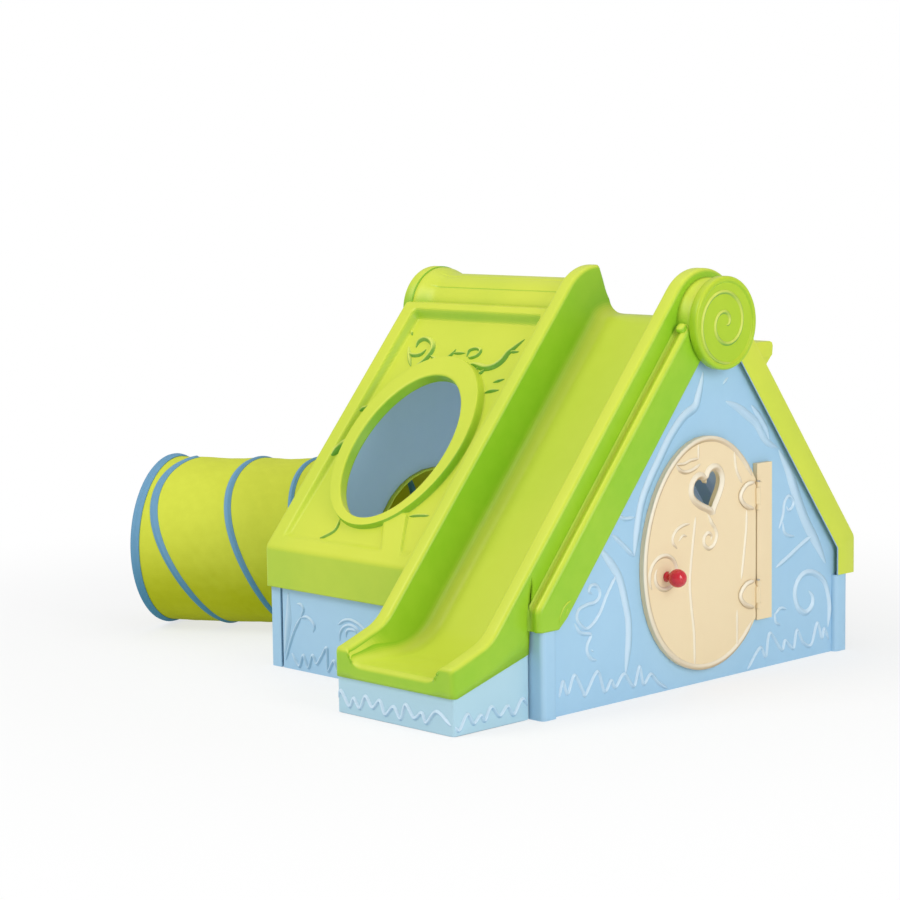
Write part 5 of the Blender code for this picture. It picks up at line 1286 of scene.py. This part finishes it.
def tunnel_binding():
    """The bound casing over the spring: a ribbon along the helix, crowned over the wire."""
    values = settings()
    length = tunnel_length()
    turn = np.linspace(0.0, math.tau * CASING_TURNS, 640)
    part = 1.0 - hoop_back(turn) / length
    across = np.linspace(-1.0, 1.0, 13)
    shift = across * values.ribbon_half / length
    grid_part = np.minimum(part[:, None] + shift[None], 1.0)
    grid_turn = np.broadcast_to(turn[:, None], grid_part.shape)
    crown = CASING_RADIUS + CASING_CROWN * np.exp(-(across / 0.5) ** 2) - 0.0006 * np.abs(across) ** 6
    outer = tunnel_points(grid_part, grid_turn, np.broadcast_to(crown[None], grid_part.shape))
    ends = grid_part[:, [-1, 0]]
    inner = tunnel_points(ends, grid_turn[:, [-1, 0]], np.full(ends.shape, CASING_INNER))
    body = np.concatenate((outer, inner), 1)
    ring = body.shape[1]
    last = (len(turn) - 1) * ring
    caps = [list(range(ring)), list(range(last, last + ring))[::-1]]
    item = build("tunnel_binding", body, quads(len(turn), ring, False, True), caps)
    fix_outward(item)
    face_light(item, *CLOTH_LIGHT)
    stamp(item, np.repeat(turn * TUNNEL_RADIUS, ring))
    paint = cloth("binding_weave", (74, 136, 168), (120, 166, 200), 3600.0)
    dress(item, paint, "blue_binding", None, "tunnel_spring_wire")
    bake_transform(item)
    band = np.array([(-0.004, 0.2395), (-0.002, 0.2425), (0.002, 0.2462), (0.006, 0.2472), (0.010, 0.2462),
                     (0.014, 0.2432), (0.020, 0.2420), (0.024, 0.2412), (0.0245, 0.2395), (0.010, 0.2388)])
    angle = np.linspace(0.0, math.tau, 160, endpoint=False)
    here, ahead, side = (value[0] for value in tunnel_frame(np.array((1.0,))))
    radius = np.broadcast_to(band[:, 1][:, None], (len(band), len(angle)))
    flat = here + side * (radius * np.sin(angle))[..., None] - ahead * (band[:, 0][:, None, None] - 0.002)
    points = np.stack((flat[..., 0], flat[..., 1], TUNNEL_Z + radius * np.cos(angle)), -1)
    hem = build("tunnel_end_band", points, quads(len(band), len(angle), True, True))
    fix_outward(hem)
    face_light(hem, *CLOTH_LIGHT)
    stamp(hem)
    return dress(hem, paint, "blue_binding", "tunnel_end", "tunnel_end_ring")


def stamp(item, around=None):
    """Store thread coordinates on a small woven piece: height, or a given length, and reach."""
    places = np.zeros(len(item.data.vertices) * 3)
    item.data.vertices.foreach_get("co", places)
    places = places.reshape(-1, 3)
    store(item.data, "around", places[:, 2] if around is None else around)
    store(item.data, "lengthwise", places[:, 0] + places[:, 1])


# Stage

# Camera fitted to the photo: focal length for a 36 mm sensor, axes and place in house coordinates
LENS = 100.675
CAMERA_AXES = ((0.69723, 0.71673, -0.01296), (-0.07575, 0.09164, 0.99291), (0.71283, -0.69131, 0.11819))
CAMERA_PLACE = (4.1029, -4.8796, 1.3663)


def camera():
    """The camera at the photo's angle."""
    data = bpy.data.cameras.new("photo_camera")
    data.lens = LENS
    data.sensor_width = 36.0
    data.clip_end = 60.0
    item = bpy.data.objects.new("photo_camera", data)
    turn = Matrix(CAMERA_AXES).transposed().to_4x4()
    item.matrix_world = Matrix.Translation(Vector(CAMERA_PLACE) + Vector(SHIFT)) @ turn
    bpy.context.scene.collection.objects.link(item)
    bpy.context.scene.camera = item


def lamp(name, place, target, size, power, colour=(1.0, 1.0, 1.0)):
    """A soft rectangular light aimed at a point."""
    data = bpy.data.lights.new(name, "AREA")
    data.shape = "RECTANGLE"
    data.size, data.size_y = size
    data.energy = power
    data.color = colour
    item = bpy.data.objects.new(name, data)
    item.location = place
    item.rotation_euler = (Vector(target) - Vector(place)).to_track_quat("-Z", "Y").to_euler()
    bpy.context.scene.collection.objects.link(item)


def floor():
    """A wide pale floor: plain white far away, and lightly shaded close to the object."""
    values = settings()
    angle = np.linspace(0.0, math.tau, 96, endpoint=False)
    radius = np.array((0.001, 1.0, 2.0, 4.0, 9.0, 22.0))
    points = np.stack((radius[:, None] * np.cos(angle), radius[:, None] * np.sin(angle),
                       np.full((len(radius), len(angle)), -0.0006)), -1)
    item = build("floor", points, quads(len(radius), len(angle), False, True), [list(range(96))], house=False)
    check_facing(item, (0, 0, 1))
    paint = Paint("floor_paper")
    spot = paint.place()
    away = paint.add("ShaderNodeVectorMath", {"operation": "LENGTH"}, {0: spot}, "Value")
    tone = paint.mix(paint.noise(spot, 3.0, 2.0) * 0.2, (0.93, 0.93, 0.93), (0.90, 0.90, 0.91))
    paint.plug(paint.shader.inputs["Base Color"], tone)
    paint.shader.inputs["Roughness"].default_value = 0.8
    glow = paint.add("ShaderNodeEmission", None, {"Color": tuple(values.backdrop), "Strength": 1.0})
    seen = paint.add("ShaderNodeLightPath", output="Is Camera Ray")
    share = (away.ramp(0.9, 2.6) * 0.30 + 0.40) * seen + 0.30
    both = paint.tree.nodes.new("ShaderNodeMixShader")
    paint.plug(both.inputs[0], share)
    paint.tree.links.new(paint.shader.outputs[0], both.inputs[1])
    paint.tree.links.new(glow.socket, both.inputs[2])
    paint.tree.links.new(both.outputs[0], paint.output.inputs["Surface"])
    item.data.materials.append(paint.material)


def world():
    """Even light all round, and a white backdrop for the camera."""
    values = settings()
    scene = bpy.context.scene
    scene.world = bpy.data.worlds.new("studio")
    scene.world.use_nodes = True
    tree = scene.world.node_tree
    tree.nodes.clear()
    path = tree.nodes.new("ShaderNodeLightPath")
    even, white = tree.nodes.new("ShaderNodeBackground"), tree.nodes.new("ShaderNodeBackground")
    even.inputs["Color"].default_value = (0.97, 0.985, 1.0, 1.0)
    even.inputs["Strength"].default_value = values.fill
    white.inputs["Color"].default_value = (*values.backdrop, 1.0)
    both, output = tree.nodes.new("ShaderNodeMixShader"), tree.nodes.new("ShaderNodeOutputWorld")
    tree.links.new(path.outputs["Is Camera Ray"], both.inputs[0])
    tree.links.new(even.outputs[0], both.inputs[1])
    tree.links.new(white.outputs[0], both.inputs[2])
    tree.links.new(both.outputs[0], output.inputs["Surface"])
    scene.view_settings.view_transform = "Standard"


class PLAYHOUSE_OT_walls(bpy.types.Operator):
    """Build the gables, low walls, slide base and their reliefs"""

    bl_idname = "playhouse.walls"
    bl_label = "Walls"

    def execute(self, context):
        for node, rounded in (("door_gable_panel", None), ("tunnel_gable_panel", None),
                              ("front_low_wall", 0.0014), ("rear_low_wall", 0.0014)):
            from_cad(node, plastic("light_blue_moulding"), "light_blue_plastic", WALL_LIGHT, rounded)
        from_cad("slide_base", plastic("pale_blue_moulding"), "light_blue_plastic", WALL_LIGHT, 0.004)
        gable_relief()
        wall_relief()
        base_relief()
        return {"FINISHED"}


class PLAYHOUSE_OT_roof(bpy.types.Operator):
    """Build the window panel, the rear panels and the ridge"""

    bl_idname = "playhouse.roof"
    bl_label = "Roof"

    def execute(self, context):
        window_panel()
        for node, direction in (("rear_roof_panel", (0.4, 0.1, 1.0)), ("climbing_panel", (0.9, 0.0, 1.0))):
            inner_tone(from_cad(node, plastic("lime_moulding"), "lime_plastic", direction))
        ridge_cap()
        ridge_disc("ridge_disc_door_end", 0.006, 0.032, 1, plastic("disc_moulding"), "green_plastic")
        ridge_disc("ridge_disc_tunnel_end", -1.0055, -1.042, -1, plastic("lime_moulding"), "lime_plastic")
        return {"FINISHED"}


class PLAYHOUSE_OT_slide(bpy.types.Operator):
    """Build the slide and its shoulder over the gable"""

    bl_idname = "playhouse.slide"
    bl_label = "Slide"

    def execute(self, context):
        slide_skin()
        return {"FINISHED"}


class PLAYHOUSE_OT_door(bpy.types.Operator):
    """Build the door leaf, its hinge plate, knobs and reliefs"""

    bl_idname = "playhouse.door"
    bl_label = "Door"

    def execute(self, context):
        from_cad("door_leaf", plastic("cream_moulding"), "cream_plastic", DOOR_LIGHT, 0.0018)
        from_cad("door_hinge_plate", plastic("cream_moulding"), "cream_plastic", DOOR_LIGHT, 0.0014)
        from_cad("door_knob_inner", plastic("red_moulding"), "red_plastic", DOOR_LIGHT, 0.0010)
        door_relief()
        door_knob()
        return {"FINISHED"}


class PLAYHOUSE_OT_tunnel(bpy.types.Operator):
    """Build the cloth tunnel, its blue binding and the collar"""

    bl_idname = "playhouse.tunnel"
    bl_label = "Tunnel"

    def execute(self, context):
        tunnel_cloth()
        from_cad("tunnel_collar", plastic("lime_moulding"), "lime_plastic", DOOR_LIGHT, 0.0012)
        for names in frame["record"]["behaviour"]["bodies"].values():
            for name in names:
                if any(word in name for word in HARDWARE):
                    frame["nodes"][name].data.materials.clear()
                    frame["nodes"][name].data.materials.append(steel())
        return {"FINISHED"}


class PLAYHOUSE_OT_stage(bpy.types.Operator):
    """Set up the camera, the lights, the floor and the backdrop"""

    bl_idname = "playhouse.stage"
    bl_label = "Stage"

    def execute(self, context):
        values = settings()
        camera()
        middle = (0.3, -0.1, 0.5)
        lamp("key", (-1.6, -4.6, 5.0), middle, (3.2, 3.2), values.key_power * 4.0)
        lamp("side", (5.2, -0.6, 2.2), middle, (2.0, 2.8), values.key_power * 2.2)
        lamp("top", (0.0, 0.4, 5.2), middle, (4.0, 4.0), values.key_power * 0.8)
        lamp("cabin", (0.60, 0.10, 0.55), (-0.12, 0.08, 0.55), (0.30, 0.30), values.key_power * 0.035,
             (1.0, 0.82, 0.90))
        floor()
        world()
        return {"FINISHED"}


class PLAYHOUSE_PT_panel(bpy.types.Panel):
    """Buttons and sizes in the 3D view's sidebar"""

    bl_label = "Playhouse"
    bl_idname = "PLAYHOUSE_PT_panel"
    bl_space_type = "VIEW_3D"
    bl_region_type = "UI"
    bl_category = "Playhouse"

    def draw(self, context):
        for name in PlayhouseSettings.__annotations__:
            self.layout.prop(context.scene.playhouse, name)
        for operator in OPERATORS:
            self.layout.operator(operator.bl_idname)


OPERATORS = (PLAYHOUSE_OT_walls, PLAYHOUSE_OT_roof, PLAYHOUSE_OT_slide, PLAYHOUSE_OT_door,
             PLAYHOUSE_OT_tunnel, PLAYHOUSE_OT_stage)
CLASSES = (PlayhouseSettings, *OPERATORS, PLAYHOUSE_PT_panel)


def register():
    """Register the classes and hang the settings on the scene."""
    for item in CLASSES:
        bpy.utils.register_class(item)
    bpy.types.Scene.playhouse = PointerProperty(type=PlayhouseSettings)


def unregister():
    """Undo register()."""
    del bpy.types.Scene.playhouse
    for item in reversed(CLASSES):
        bpy.utils.unregister_class(item)


def main():
    register()
    bpy.ops.playhouse.walls()
    bpy.ops.playhouse.roof()
    bpy.ops.playhouse.slide()
    bpy.ops.playhouse.door()
    bpy.ops.playhouse.tunnel()
    bpy.ops.playhouse.stage()


if __name__ == "__main__":
    main()
